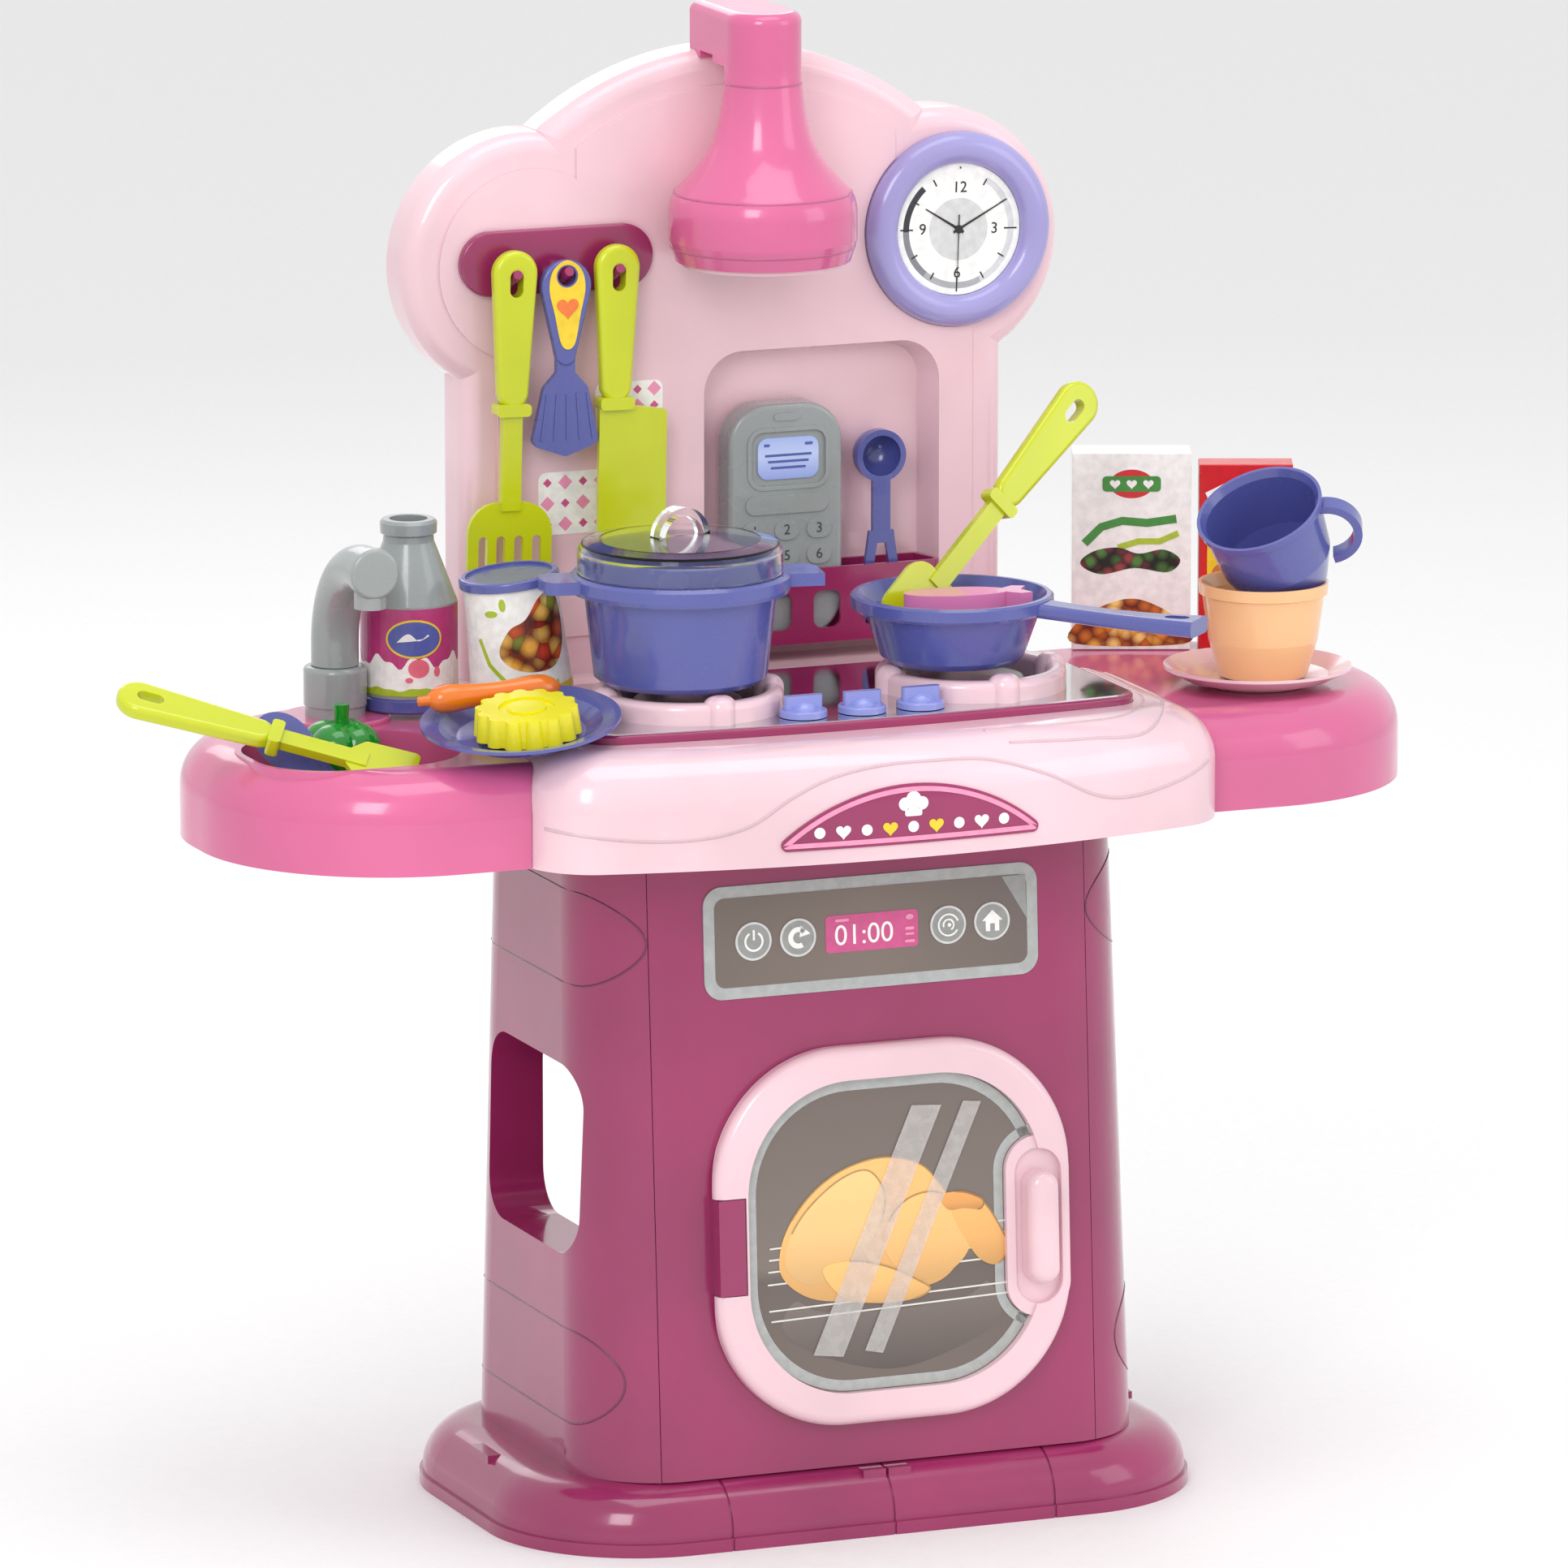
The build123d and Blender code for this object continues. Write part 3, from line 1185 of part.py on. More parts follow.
def make_groceries():
    """Milk bottle, food can and the two cartons."""
    z = WING_TOP + PAD_H + REST_GAP
    save(turned([
        (0, z), (22.2, z), (23.2, z + 1), (23.2, z + 6), (22, z + 7), (0, z + 7),
    ], BOTTLE), "bottle_base")
    save(turned([
        (0, z + 7), (22.4, z + 7), (22.7, z + 8), (22.7, z + 51), (21.5, z + 54), (12, z + 79),
        (11.8, z + 82), (13.3, z + 83), (13.5, z + 88), (12.3, z + 89.5), (9, z + 89.5), (9, z + 80),
        (19, z + 53), (20.5, z + 49),
        (20.5, z + 9), (0, z + 9),
    ], BOTTLE), "milk_bottle")

    can_plane = Plane(origin=CAN[:3], x_dir=(1, 0, 0.01), z_dir=CAN[3:])
    with BuildPart() as can:
        with BuildSketch(Plane.XY):
            Circle(24)
        with BuildSketch(Plane.XY.offset(52)):
            Circle(22)
        loft()
        fillet(can.faces().sort_by(Axis.Z)[0].edges(), radius=1.2)
    save(can_plane.location * can.part, "food_can")
    with BuildPart() as can_lid:
        with BuildSketch(Plane.XY.offset(52)):
            Circle(23.6)
        extrude(amount=4.5)
        fillet(can_lid.faces().sort_by(Axis.Z)[-1].edges(), radius=1.4)
        with BuildSketch(Plane.XY.offset(55.3)):
            Circle(20.5)
        extrude(amount=3, mode=Mode.SUBTRACT)
    save(can_plane.location * can_lid.part, "can_lid")

    for (x, y, width, depth, height), name in ((CEREAL, "cereal_box"), (BISCUIT, "biscuit_box")):
        turn = radians(CARTON_TURN)
        floor = Plane(
            origin=(x, y, WING_TOP + REST_GAP), x_dir=(cos(turn), sin(turn), 0), z_dir=(0, 0, 1)
        )
        with BuildPart() as carton:
            with BuildSketch(floor):
                Rectangle(width, depth)
            extrude(amount=height)
            fillet(carton.edges(), radius=0.6)
        save(carton.part, name)


def flat_tool(placing):
    """Plane of a tool that lies down: hole point, heading from its tip to its handle, and roll."""
    hx, hy, hz, dx, dy, dz, roll = placing
    heading = Vector(dx, dy, dz).normalized()
    sideways = heading.cross(Vector(0, 0, 1)).normalized()
    upward = sideways.cross(heading)
    turn = radians(roll)
    return Plane(
        origin=(hx, hy, hz), x_dir=sideways * cos(turn) + upward * sin(turn),
        z_dir=upward * cos(turn) - sideways * sin(turn),
    )


def make_sink_things():
    """Turner and spoon lying in the sink and over its edge, and the pepper."""
    plane = flat_tool(SINK_TURNER)
    with BuildPart() as turner:
        add(lime_handle(plane))
        with BuildSketch(plane.offset(-2.2)):
            with Locations((0, -60)):
                Rectangle(10, 44, align=(Align.CENTER, Align.MAX))
        extrude(amount=4.4)
        with BuildSketch(plane.offset(-1.4)) as head:
            with BuildLine():
                Polyline((-5, -94), (-14, -101), (-15, -127), (15, -127), (14, -101), (5, -94), close=True)
            make_face()
            fillet(head.vertices(), radius=3)
        extrude(amount=2.8)
    save(turner.part, "sink_turner")

    with BuildPart() as spoon:
        with BuildSketch(flat_tool(SINK_SPOON).offset(-1.5)):
            with Locations((0, -14)):
                Circle(6)
            with Locations((0, -48)):
                Circle(3.6)
            make_hull()
            Ellipse(12, 17)
        extrude(amount=3)
    save(spoon.part, "sink_spoon")

    x, y = PEPPER
    z = WING_TOP - SINK_DEPTH + REST_GAP + PEPPER_LOBE_R
    reach = PEPPER_LOBE_R * 0.6
    with BuildPart() as pepper:
        for angle in range(45, 405, 90):
            lobe_x = x + reach * cos(radians(angle))
            lobe_y = y + reach * sin(radians(angle))
            with Locations((lobe_x, lobe_y, z), (lobe_x, lobe_y, z + 15)):
                Sphere(PEPPER_LOBE_R)
            with BuildSketch(Plane.XY.offset(z)):
                with Locations((lobe_x, lobe_y)):
                    Circle(PEPPER_LOBE_R)
            extrude(amount=15)
        with BuildSketch(Plane.XY.offset(z + 20)):
            with Locations(PEPPER):
                Circle(3)
        extrude(amount=15, taper=-3)
    save(pepper.part, "green_pepper")


make_plinth()
make_side_panel(-1, "left_side_panel")
make_side_panel(1, "right_side_panel")
make_oven(make_front_panel())
make_control_panel()
make_counter()
make_badge()
make_hob()
make_faucet()
make_backsplash()
make_hood()
make_clock()
make_rail()
make_rack()
make_phone()
make_measuring_spoon()
make_hanging_tools()
make_pot()
make_pan()
make_dishes()
make_groceries()
make_sink_things()
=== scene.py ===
"""Toy kitchen: materials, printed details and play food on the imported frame.

Sizes are in millimetres and are turned into metres by mm() and at_mm().  The front faces -Y.
"""
import bmesh
import bpy
import math
from mathutils import Matrix, Vector
from mathutils.bvhtree import BVHTree


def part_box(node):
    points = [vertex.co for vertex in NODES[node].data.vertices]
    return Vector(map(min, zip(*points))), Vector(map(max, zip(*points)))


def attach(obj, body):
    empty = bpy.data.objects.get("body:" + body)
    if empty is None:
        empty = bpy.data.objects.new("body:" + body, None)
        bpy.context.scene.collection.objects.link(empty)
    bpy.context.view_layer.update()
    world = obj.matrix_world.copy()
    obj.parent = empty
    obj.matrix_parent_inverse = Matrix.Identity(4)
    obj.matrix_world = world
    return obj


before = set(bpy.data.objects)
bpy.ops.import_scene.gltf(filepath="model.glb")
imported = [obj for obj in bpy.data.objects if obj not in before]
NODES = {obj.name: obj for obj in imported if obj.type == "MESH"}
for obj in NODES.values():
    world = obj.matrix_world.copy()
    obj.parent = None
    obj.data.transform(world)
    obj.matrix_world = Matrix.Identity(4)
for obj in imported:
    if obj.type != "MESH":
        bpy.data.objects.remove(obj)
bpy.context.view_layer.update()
PRINT_T = 0.25                  # thickness of a sticker or print, mm


def mm(value):
    return value * 0.001


def at_mm(x, y, z):
    return Vector((x, y, z)) * 0.001


def linear(colour):
    """Linear colour from an sRGB one given as 0 to 255."""
    out = []
    for value in colour:
        value = value / 255
        out.append(value / 12.92 if value <= 0.04045 else ((value + 0.055) / 1.055) ** 2.4)
    return (*out, 1.0)


def scaled(colour, factor):
    return tuple(min(255, max(0, c * factor)) for c in colour)


# ---- colours, sRGB -------------------------------------------------------------------------------
LIGHT_PINK = (234, 199, 208)
PINK = (211, 98, 146)
MAGENTA = (150, 40, 92)
LILAC = (158, 152, 206)
KNOB_LILAC = (140, 148, 214)
INDIGO = (84, 90, 160)
LIME = (198, 208, 12)
GREY = (152, 158, 158)
DARK_GREY = (70, 72, 74)
PANEL_BROWN = (118, 105, 98)
PANEL_GREY = (172, 176, 174)
WHITE = (246, 246, 242)
BLACK = (24, 24, 26)
PEACH = (248, 192, 138)
YELLOW = (232, 222, 8)
ORANGE = (226, 116, 22)
GREEN = (8, 138, 30)
FISH_PINK = (226, 132, 184)
RED = (206, 28, 34)


# ---- materials -----------------------------------------------------------------------------------
def blank(name):
    mat = bpy.data.materials.new(name)
    mat.use_nodes = True
    tree = mat.node_tree
    return mat, tree, tree.nodes["Principled BSDF"]


def noise(tree, scale, detail=2.0):
    coords = tree.nodes.new("ShaderNodeTexCoord")
    texture = tree.nodes.new("ShaderNodeTexNoise")
    texture.inputs["Scale"].default_value = scale
    texture.inputs["Detail"].default_value = detail
    tree.links.new(coords.outputs["Object"], texture.inputs["Vector"])
    return texture.outputs["Fac"]


def ramp(tree, source, stops, socket):
    """Colour ramp from source to socket; stops are (place, linear colour)."""
    node = tree.nodes.new("ShaderNodeValToRGB")
    while len(node.color_ramp.elements) < len(stops):
        node.color_ramp.elements.new(0.5)
    for element, (place, colour) in zip(node.color_ramp.elements, stops):
        element.position = place
        element.color = colour
    tree.links.new(source, node.inputs["Fac"])
    tree.links.new(node.outputs["Color"], socket)
    return node


def spread(tree, source, low, high, socket):
    node = tree.nodes.new("ShaderNodeMapRange")
    node.inputs["From Min"].default_value = 0.3
    node.inputs["From Max"].default_value = 0.7
    node.inputs["To Min"].default_value = low
    node.inputs["To Max"].default_value = high
    tree.links.new(source, node.inputs["Value"])
    tree.links.new(node.outputs["Result"], socket)


def bumps(tree, shader, layers):
    """Stacked bump layers, each (noise scale, depth in mm)."""
    last = None
    for scale, depth in layers:
        node = tree.nodes.new("ShaderNodeBump")
        node.inputs["Strength"].default_value = 1.0
        node.inputs["Distance"].default_value = mm(depth)
        tree.links.new(noise(tree, scale), node.inputs["Height"])
        if last is not None:
            tree.links.new(last.outputs["Normal"], node.inputs["Normal"])
        last = node
    tree.links.new(last.outputs["Normal"], shader.inputs["Normal"])


def plastic(name, colour, rough=0.2, coat=0.5, mottle=0.035, glow=0.08):
    """Glossy moulded plastic: faint flow marks in the colour, uneven gloss, and a slight ripple."""
    mat, tree, shader = blank(name)
    low = linear(scaled(colour, 1 - mottle))
    high = linear(scaled(colour, 1 + mottle))
    ramp(tree, noise(tree, 9.0, 3.0), ((0.35, low), (0.65, high)), shader.inputs["Base Color"])
    spread(tree, noise(tree, 60.0, 4.0), rough * 0.75, rough * 1.35, shader.inputs["Roughness"])
    shader.inputs["Coat Weight"].default_value = coat
    shader.inputs["Coat Roughness"].default_value = 0.06
    shader.inputs["Subsurface Weight"].default_value = glow
    shader.inputs["Subsurface Radius"].default_value = (0.006, 0.003, 0.003)
    shader.inputs["Subsurface Scale"].default_value = 1.0
    bumps(tree, shader, ((14.0, 0.22), (420.0, 0.012)))
    return mat


def printed(name, colour, rough=0.34, mottle=0.03, coat=0.25):
    """Ink on card or film: slight unevenness and a fine paper tooth."""
    mat, tree, shader = blank(name)
    low = linear(scaled(colour, 1 - mottle))
    high = linear(scaled(colour, 1 + mottle))
    ramp(tree, noise(tree, 220.0, 3.0), ((0.35, low), (0.65, high)), shader.inputs["Base Color"])
    spread(tree, noise(tree, 90.0), rough * 0.85, rough * 1.2, shader.inputs["Roughness"])
    shader.inputs["Coat Weight"].default_value = coat
    shader.inputs["Coat Roughness"].default_value = 0.15
    bumps(tree, shader, ((900.0, 0.006),))
    return mat


def fading(name, axis, low_mm, high_mm, stops, rough=0.35):
    """Print whose colour fades along one axis of the frame, from low_mm to high_mm."""
    mat, tree, shader = blank(name)
    coords = tree.nodes.new("ShaderNodeTexCoord")
    split = tree.nodes.new("ShaderNodeSeparateXYZ")
    place = tree.nodes.new("ShaderNodeMapRange")
    place.inputs["From Min"].default_value = mm(low_mm)
    place.inputs["From Max"].default_value = mm(high_mm)
    tree.links.new(coords.outputs["Object"], split.inputs["Vector"])
    tree.links.new(split.outputs[axis], place.inputs["Value"])
    ramp(tree, place.outputs["Result"], [(p, linear(c)) for p, c in stops], shader.inputs["Base Color"])
    spread(tree, noise(tree, 120.0), rough * 0.9, rough * 1.1, shader.inputs["Roughness"])
    shader.inputs["Coat Weight"].default_value = 0.3
    bumps(tree, shader, ((700.0, 0.005),))
    return mat


def pieces_of_food(name, colours, scale, ground):
    """Heap of cereal or vegetable pieces, printed: cells in several colours with dark gaps."""
    mat, tree, shader = blank(name)
    coords = tree.nodes.new("ShaderNodeTexCoord")
    cells = tree.nodes.new("ShaderNodeTexVoronoi")
    cells.inputs["Scale"].default_value = scale
    tree.links.new(coords.outputs["Object"], cells.inputs["Vector"])
    split = tree.nodes.new("ShaderNodeSeparateColor")
    tree.links.new(cells.outputs["Color"], split.inputs["Color"])
    mixer = tree.nodes.new("ShaderNodeMix")
    mixer.data_type = "RGBA"
    mixer.blend_type = "MULTIPLY"
    mixer.inputs["Factor"].default_value = 1.0
    count = len(colours)
    stops = [(i / count, linear(c)) for i, c in enumerate(colours)]
    tone = ramp(tree, split.outputs["Red"], stops, mixer.inputs["A"])
    tone.color_ramp.interpolation = "CONSTANT"
    ramp(tree, cells.outputs["Distance"], ((0.25, (1, 1, 1, 1)), (0.75, linear(ground))), mixer.inputs["B"])
    tree.links.new(mixer.outputs["Result"], shader.inputs["Base Color"])
    shader.inputs["Roughness"].default_value = 0.38
    bumps(tree, shader, ((500.0, 0.01),))
    return mat


def clear_plastic(name):
    """Thin clear moulding with faint waves in it."""
    mat, tree, shader = blank(name)
    shader.inputs["Base Color"].default_value = (0.97, 0.98, 0.98, 1)
    shader.inputs["Transmission Weight"].default_value = 1.0
    shader.inputs["IOR"].default_value = 1.35
    spread(tree, noise(tree, 40.0), 0.02, 0.06, shader.inputs["Roughness"])
    bumps(tree, shader, ((16.0, 0.15),))
    return mat


def foil(name):
    """Mirror-like foil on the hob, a little wavy."""
    mat, tree, shader = blank(name)
    ramp(tree, noise(tree, 8.0), ((0.3, linear((205, 205, 208))), (0.7, linear((228, 228, 230)))),
         shader.inputs["Base Color"])
    shader.inputs["Metallic"].default_value = 1.0
    spread(tree, noise(tree, 30.0), 0.06, 0.14, shader.inputs["Roughness"])
    bumps(tree, shader, ((20.0, 0.12),))
    return mat


light_pink = plastic("light_pink_plastic", LIGHT_PINK)
pink = plastic("pink_plastic", PINK)
magenta = plastic("magenta_plastic", MAGENTA, rough=0.17, mottle=0.05)
lilac = plastic("lilac_plastic", LILAC)
knob_lilac = plastic("knob_plastic", KNOB_LILAC)
indigo = plastic("indigo_plastic", INDIGO, rough=0.24)
lime = plastic("lime_plastic", LIME, glow=0.15)
grey = plastic("grey_plastic", GREY, rough=0.26)
peach = plastic("peach_plastic", PEACH, glow=0.2)
yellow = plastic("yellow_plastic", YELLOW, glow=0.15)
orange = plastic("orange_plastic", ORANGE, glow=0.12)
green = plastic("green_plastic", GREEN, rough=0.16)
fish_pink = plastic("fish_plastic", FISH_PINK)
inner_dark = plastic("liner_plastic", (74, 64, 62), rough=0.4, coat=0.1)
clear = clear_plastic("clear_plastic")
mirror = foil("hob_foil")
white_ink = printed("white_print", WHITE)
black_ink = printed("black_print", BLACK)
grey_ink = printed("grey_print", PANEL_GREY)
mid_grey_ink = printed("mid_grey_print", (150, 152, 150))
pale_grey_ink = printed("pale_grey_print", (212, 213, 212))
dark_ink = printed("dark_print", DARK_GREY)
pink_ink = printed("pink_print", (205, 82, 138))
pale_pink_ink = printed("pale_pink_print", (240, 150, 185))
magenta_ink = printed("magenta_print", (188, 52, 122))
yellow_ink = printed("yellow_print", (240, 205, 40))
orange_ink = printed("orange_print", (235, 120, 50))
red_ink = printed("red_print", RED)
green_ink = printed("green_print", (60, 140, 50))
lime_ink = printed("lime_print", (170, 195, 40))
blue_ink = printed("blue_print", (80, 92, 170))
carton_white = printed("carton_white", (242, 242, 238), rough=0.3)
carton_red = printed("carton_red", (205, 26, 32), rough=0.3)
wire_ink = printed("wire_print", (225, 222, 216))
# painted shade: each moulded line gets a darker copy of its shell's plastic, standing in for the shade that falls in
# the groove
magenta_shade_for_grooves = plastic("magenta_painted_groove_shade", scaled(MAGENTA, 0.72), rough=0.3)
pink_painted_groove_shade = plastic("pink_painted_groove_shade", scaled(LIGHT_PINK, 0.9), rough=0.3)
hood_painted_groove_shade = plastic("hood_painted_groove_shade", scaled(PINK, 0.86), rough=0.3)

PAINT = {
    light_pink: ("counter_centre", "backsplash", "oven_door", "door_handle", "burner_ring_left",
                 "burner_ring_right", "hood_lens", "saucer"),
    pink: ("counter_left_wing", "counter_right_wing", "faucet_pad", "hood_body", "hood_cap"),
    magenta: ("base_plinth", "left_side_panel", "right_side_panel", "front_panel", "hob_plate",
              "hook_rail", "shelf_rack", "badge_plate", "door_hinge_pin"),
    inner_dark: ("oven_liner",),
    lilac: ("clock_ring",),
    knob_lilac: ("knob_left", "knob_centre", "knob_right"),
    indigo: ("pot", "pan", "blue_mug", "blue_plate", "measuring_spoon", "hanging_spatula",
             "bottle_base", "can_lid", "sink_spoon"),
    lime: ("hanging_fork", "hanging_cleaver", "pan_turner", "sink_turner"),
    grey: ("faucet_collar", "faucet_spout", "phone", "milk_bottle"),
    clear: ("pot_lid",),
    mirror: ("hob_mirror",),
    white_ink: ("clock_dial", "food_can"),
    grey_ink: ("control_panel",),
    dark_ink: ("burner_discs",),
    peach: ("orange_cup",),
    yellow: ("jelly_cake",),
    orange: ("carrot",),
    green: ("green_pepper",),
    fish_pink: ("toy_fish",),
    carton_white: ("cereal_box",),
    carton_red: ("biscuit_box",),
}


def paint(node, mat):
    mesh = NODES[node].data
    mesh.materials.clear()
    mesh.materials.append(mat)


for mat, names in PAINT.items():
    for node_name in names:
        paint(node_name, mat)
paint("oven_door_card", fading("oven_print", "Z", 60, 225, (
    (0.0, (116, 103, 97)), (0.38, (104, 92, 86)), (0.42, (124, 112, 105)), (1.0, (108, 96, 90)),
)))
paint("phone_screen", fading("screen_print", "Z", 468, 490, (
    (0.0, (150, 170, 235)), (0.5, (196, 212, 252)), (1.0, (160, 182, 240)),
)))


# ---- outlines, as lists of (u, v) in millimetres -------------------------------------------------
def oval(u, v, ru, rv=None, start=0.0, end=360.0, steps=48):
    rv = ru if rv is None else rv
    closed = end - start >= 360
    count = steps if closed else steps + 1
    angles = [math.radians(start + (end - start) * i / steps) for i in range(count)]
    return [(u + ru * math.cos(a), v + rv * math.sin(a)) for a in angles]


def rounded(u, v, width, height, radius, steps=10):
    """Rounded rectangle centred on (u, v)."""
    points = []
    for su, sv, start in ((1, 1, 0), (-1, 1, 90), (-1, -1, 180), (1, -1, 270)):
        cu = u + su * (width / 2 - radius)
        cv = v + sv * (height / 2 - radius)
        points += oval(cu, cv, radius, radius, start, start + 90, steps)
    return points


def smooth(points, steps=6):
    """Closed curve through the points (Catmull-Rom)."""
    out = []
    n = len(points)
    for i in range(n):
        a, b, c, d = (Vector(points[(i + k) % n]) for k in (-1, 0, 1, 2))
        for s in range(steps):
            t = s / steps
            p = 0.5 * (2 * b + (c - a) * t + (2 * a - 5 * b + 4 * c - d) * t**2
                       + (3 * b - a - 3 * c + d) * t**3)
            out.append((p.x, p.y))
    return out


def stroke(points, width, closed=False):
    """Ribbon of the given width along the points."""
    left, right = [], []
    n = len(points)
    for i, p in enumerate(points):
        before = Vector(points[i - 1] if (i or closed) else points[i])
        after = Vector(points[(i + 1) % n] if (i < n - 1 or closed) else points[i])
        along = (after - before).normalized()
        side = Vector((-along.y, along.x)) * width / 2
        left.append(tuple(Vector(p) + side))
        right.append(tuple(Vector(p) - side))
    return left + right[::-1]


def heart(u, v, size):
    points = []
    for i in range(40):
        t = 2 * math.pi * i / 40
        hu = 16 * math.sin(t) ** 3
        hv = 13 * math.cos(t) - 5 * math.cos(2 * t) - 2 * math.cos(3 * t) - math.cos(4 * t)
        points.append((u + hu * size / 32, v + hv * size / 32))
    return points


# ---- where a print lies: each returns a point for (u, v, height) in millimetres ------------------
def flat_place(origin, u_dir, v_dir):
    u_dir = Vector(u_dir).normalized()
    v_dir = Vector(v_dir).normalized()
    normal = u_dir.cross(v_dir)
    base = Vector(origin)

    def place(u, v, h):
        return (base + u_dir * u + v_dir * v + normal * h) * 0.001
    return place


def wrap_place(foot, axis, facing, radius_at):
    """Round body: u runs round it from facing, v runs up its axis, radius_at(v) is its radius."""
    axis = Vector(axis).normalized()
    facing = Vector(facing)
    facing = (facing - axis * facing.dot(axis)).normalized()
    side = axis.cross(facing)
    foot = Vector(foot)

    def place(u, v, h):
        radius = radius_at(v)
        angle = u / radius
        out = facing * math.cos(angle) + side * math.sin(angle)
        return (foot + axis * v + out * (radius + h)) * 0.001
    return place


TREES = {}


def tree_of(node):
    if node not in TREES:
        mesh = NODES[node].data
        TREES[node] = BVHTree.FromPolygons([v.co for v in mesh.vertices],
                                           [tuple(p.vertices) for p in mesh.polygons])
    return TREES[node]


def onto_place(node, u_dir=(1, 0, 0), v_dir=(0, 0, 1), back=(0, 1, 0), start=(0, -400, 0)):
    """Print that follows a CAD surface: looked up along back from a plane through start."""
    u_dir = Vector(u_dir).normalized()
    v_dir = Vector(v_dir).normalized()
    back = Vector(back).normalized()
    start = Vector(start)
    tree = tree_of(node)

    def place(u, v, h):
        origin = (start + u_dir * u + v_dir * v) * 0.001
        hit, _, _, _ = tree.ray_cast(origin, back)
        if hit is None:
            hit, _, _, _ = tree.find_nearest(origin + back * 0.29)
        return hit - back * mm(h)
    return place


def cut_into_strips(bm, step, along):
    """Cut every face of a flat outline into strips, so that it can bend."""
    values = [v.co[along] for v in bm.verts]
    low, high = min(values), max(values)
    normal = Vector((0, 0, 0))
    normal[along] = 1
    count = max(1, int((high - low) / step))
    for i in range(1, count):
        point = Vector((0, 0, 0))
        point[along] = low + (high - low) * i / count
        geometry = bm.verts[:] + bm.edges[:] + bm.faces[:]
        bmesh.ops.bisect_plane(bm, geom=geometry, plane_co=point, plane_no=normal)


def decal(name, body, place, outlines, mat, base=0.0, height=PRINT_T, bend=0.0):
    """Thin solid print: filled outlines from base to base + height; bend is the strip width."""
    bm = bmesh.new()
    if outlines and not isinstance(outlines[0][0], (list, tuple)):
        outlines = [outlines]
    for outline in outlines:
        bm.faces.new([bm.verts.new((u, v, 0)) for u, v in outline])
    bmesh.ops.recalc_face_normals(bm, faces=bm.faces)
    if bend:
        cut_into_strips(bm, bend, 0)
        cut_into_strips(bm, bend * 2, 1)
    for face in bm.faces:
        if face.normal.z < 0:
            face.normal_flip()
    top = bmesh.ops.extrude_face_region(bm, geom=bm.faces[:])
    raised = {v for v in top["geom"] if isinstance(v, bmesh.types.BMVert)}
    for vert in bm.verts:
        level = base + height if vert in raised else base
        vert.co = place(vert.co.x, vert.co.y, level)
    bmesh.ops.recalc_face_normals(bm, faces=bm.faces)
    return finish_mesh(name, body, bm, mat)


def ring(name, body, place, outer, inner, mat, base=0.0, height=PRINT_T):
    """Flat ring between two outlines with the same number of points."""
    bm = bmesh.new()
    n = len(outer)
    loops = []
    for outline, level in ((outer, base), (outer, base + height), (inner, base + height), (inner, base)):
        loops.append([bm.verts.new(place(u, v, level)) for u, v in outline])
    for a, b in zip(loops, loops[1:] + loops[:1]):
        for i in range(n):
            bm.faces.new((a[i], a[(i + 1) % n], b[(i + 1) % n], b[i]))
    bmesh.ops.recalc_face_normals(bm, faces=bm.faces)
    return finish_mesh(name, body, bm, mat)


def finish_mesh(name, body, bm, mat, smooth_faces=False):
    mesh = bpy.data.meshes.new(name)
    bm.to_mesh(mesh)
    bm.free()
    for polygon in mesh.polygons:
        polygon.use_smooth = smooth_faces
    mesh.materials.append(mat)
    obj = bpy.data.objects.new(name, mesh)
    bpy.context.scene.collection.objects.link(obj)
    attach(obj, body)
    return obj


def bead(name, body, points, radius, mat, closed=False):
    """Fine moulded line: a tube half sunk in the surface, through points in metres."""
    curve = bpy.data.curves.new(name, "CURVE")
    curve.dimensions = "3D"
    curve.bevel_depth = mm(radius)
    curve.bevel_resolution = 3
    spline = curve.splines.new("POLY")
    spline.points.add(len(points) - 1)
    for point, place in zip(spline.points, points):
        point.co = (*place, 1)
    spline.use_cyclic_u = closed
    curve.materials.append(mat)
    obj = bpy.data.objects.new(name, curve)
    bpy.context.scene.collection.objects.link(obj)
    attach(obj, body)
    return obj


def figure(name, body, text, place, u, v, size, mat, base=0.0):
    """Digits laid on a flat print."""
    curve = bpy.data.curves.new(name, "FONT")
    curve.body = text
    curve.size = 1.0
    curve.align_x = "CENTER"
    curve.align_y = "CENTER"
    curve.extrude = PRINT_T * 0.3 / size
    curve.materials.append(mat)
    obj = bpy.data.objects.new(name, curve)
    bpy.context.scene.collection.objects.link(obj)
    origin = place(u, v, base)
    x_axis = (place(u + 1, v, base) - origin) * size
    y_axis = (place(u, v + 1, base) - origin) * size
    z_axis = (place(u, v, base + 1) - origin) * size
    matrix = Matrix((x_axis, y_axis, z_axis)).transposed().to_4x4()
    matrix.translation = origin
    obj.matrix_world = matrix
    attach(obj, body)
    return obj


# ---- the leaning front ---------------------------------------------------------------------------
LEAN = 17 / 300
FACE_FOOT_Y = -97 - 31 * LEAN
FACE_UP = Vector((0, LEAN, 1)).normalized()
front_place = flat_place((0, FACE_FOOT_Y, 0), (1, 0, 0), FACE_UP)
PANEL_Z = 283
PANEL_TOP = 0.8
decal("panel_field", "cabinet", front_place, rounded(0, PANEL_Z, 157, 42, 5),
      fading("panel_print", "X", -80, 80, (
          (0.0, (112, 100, 92)), (0.5, (122, 109, 101)), (1.0, (108, 96, 90)),
      )), base=PANEL_TOP)
decal("panel_shine", "cabinet", front_place, [(66, 303.6), (78, 303.6), (78.4, 283)], mid_grey_ink,
      base=PANEL_TOP + 0.1)
BUTTON_X = (-59.5, -37.2, 38.4, 60.6)
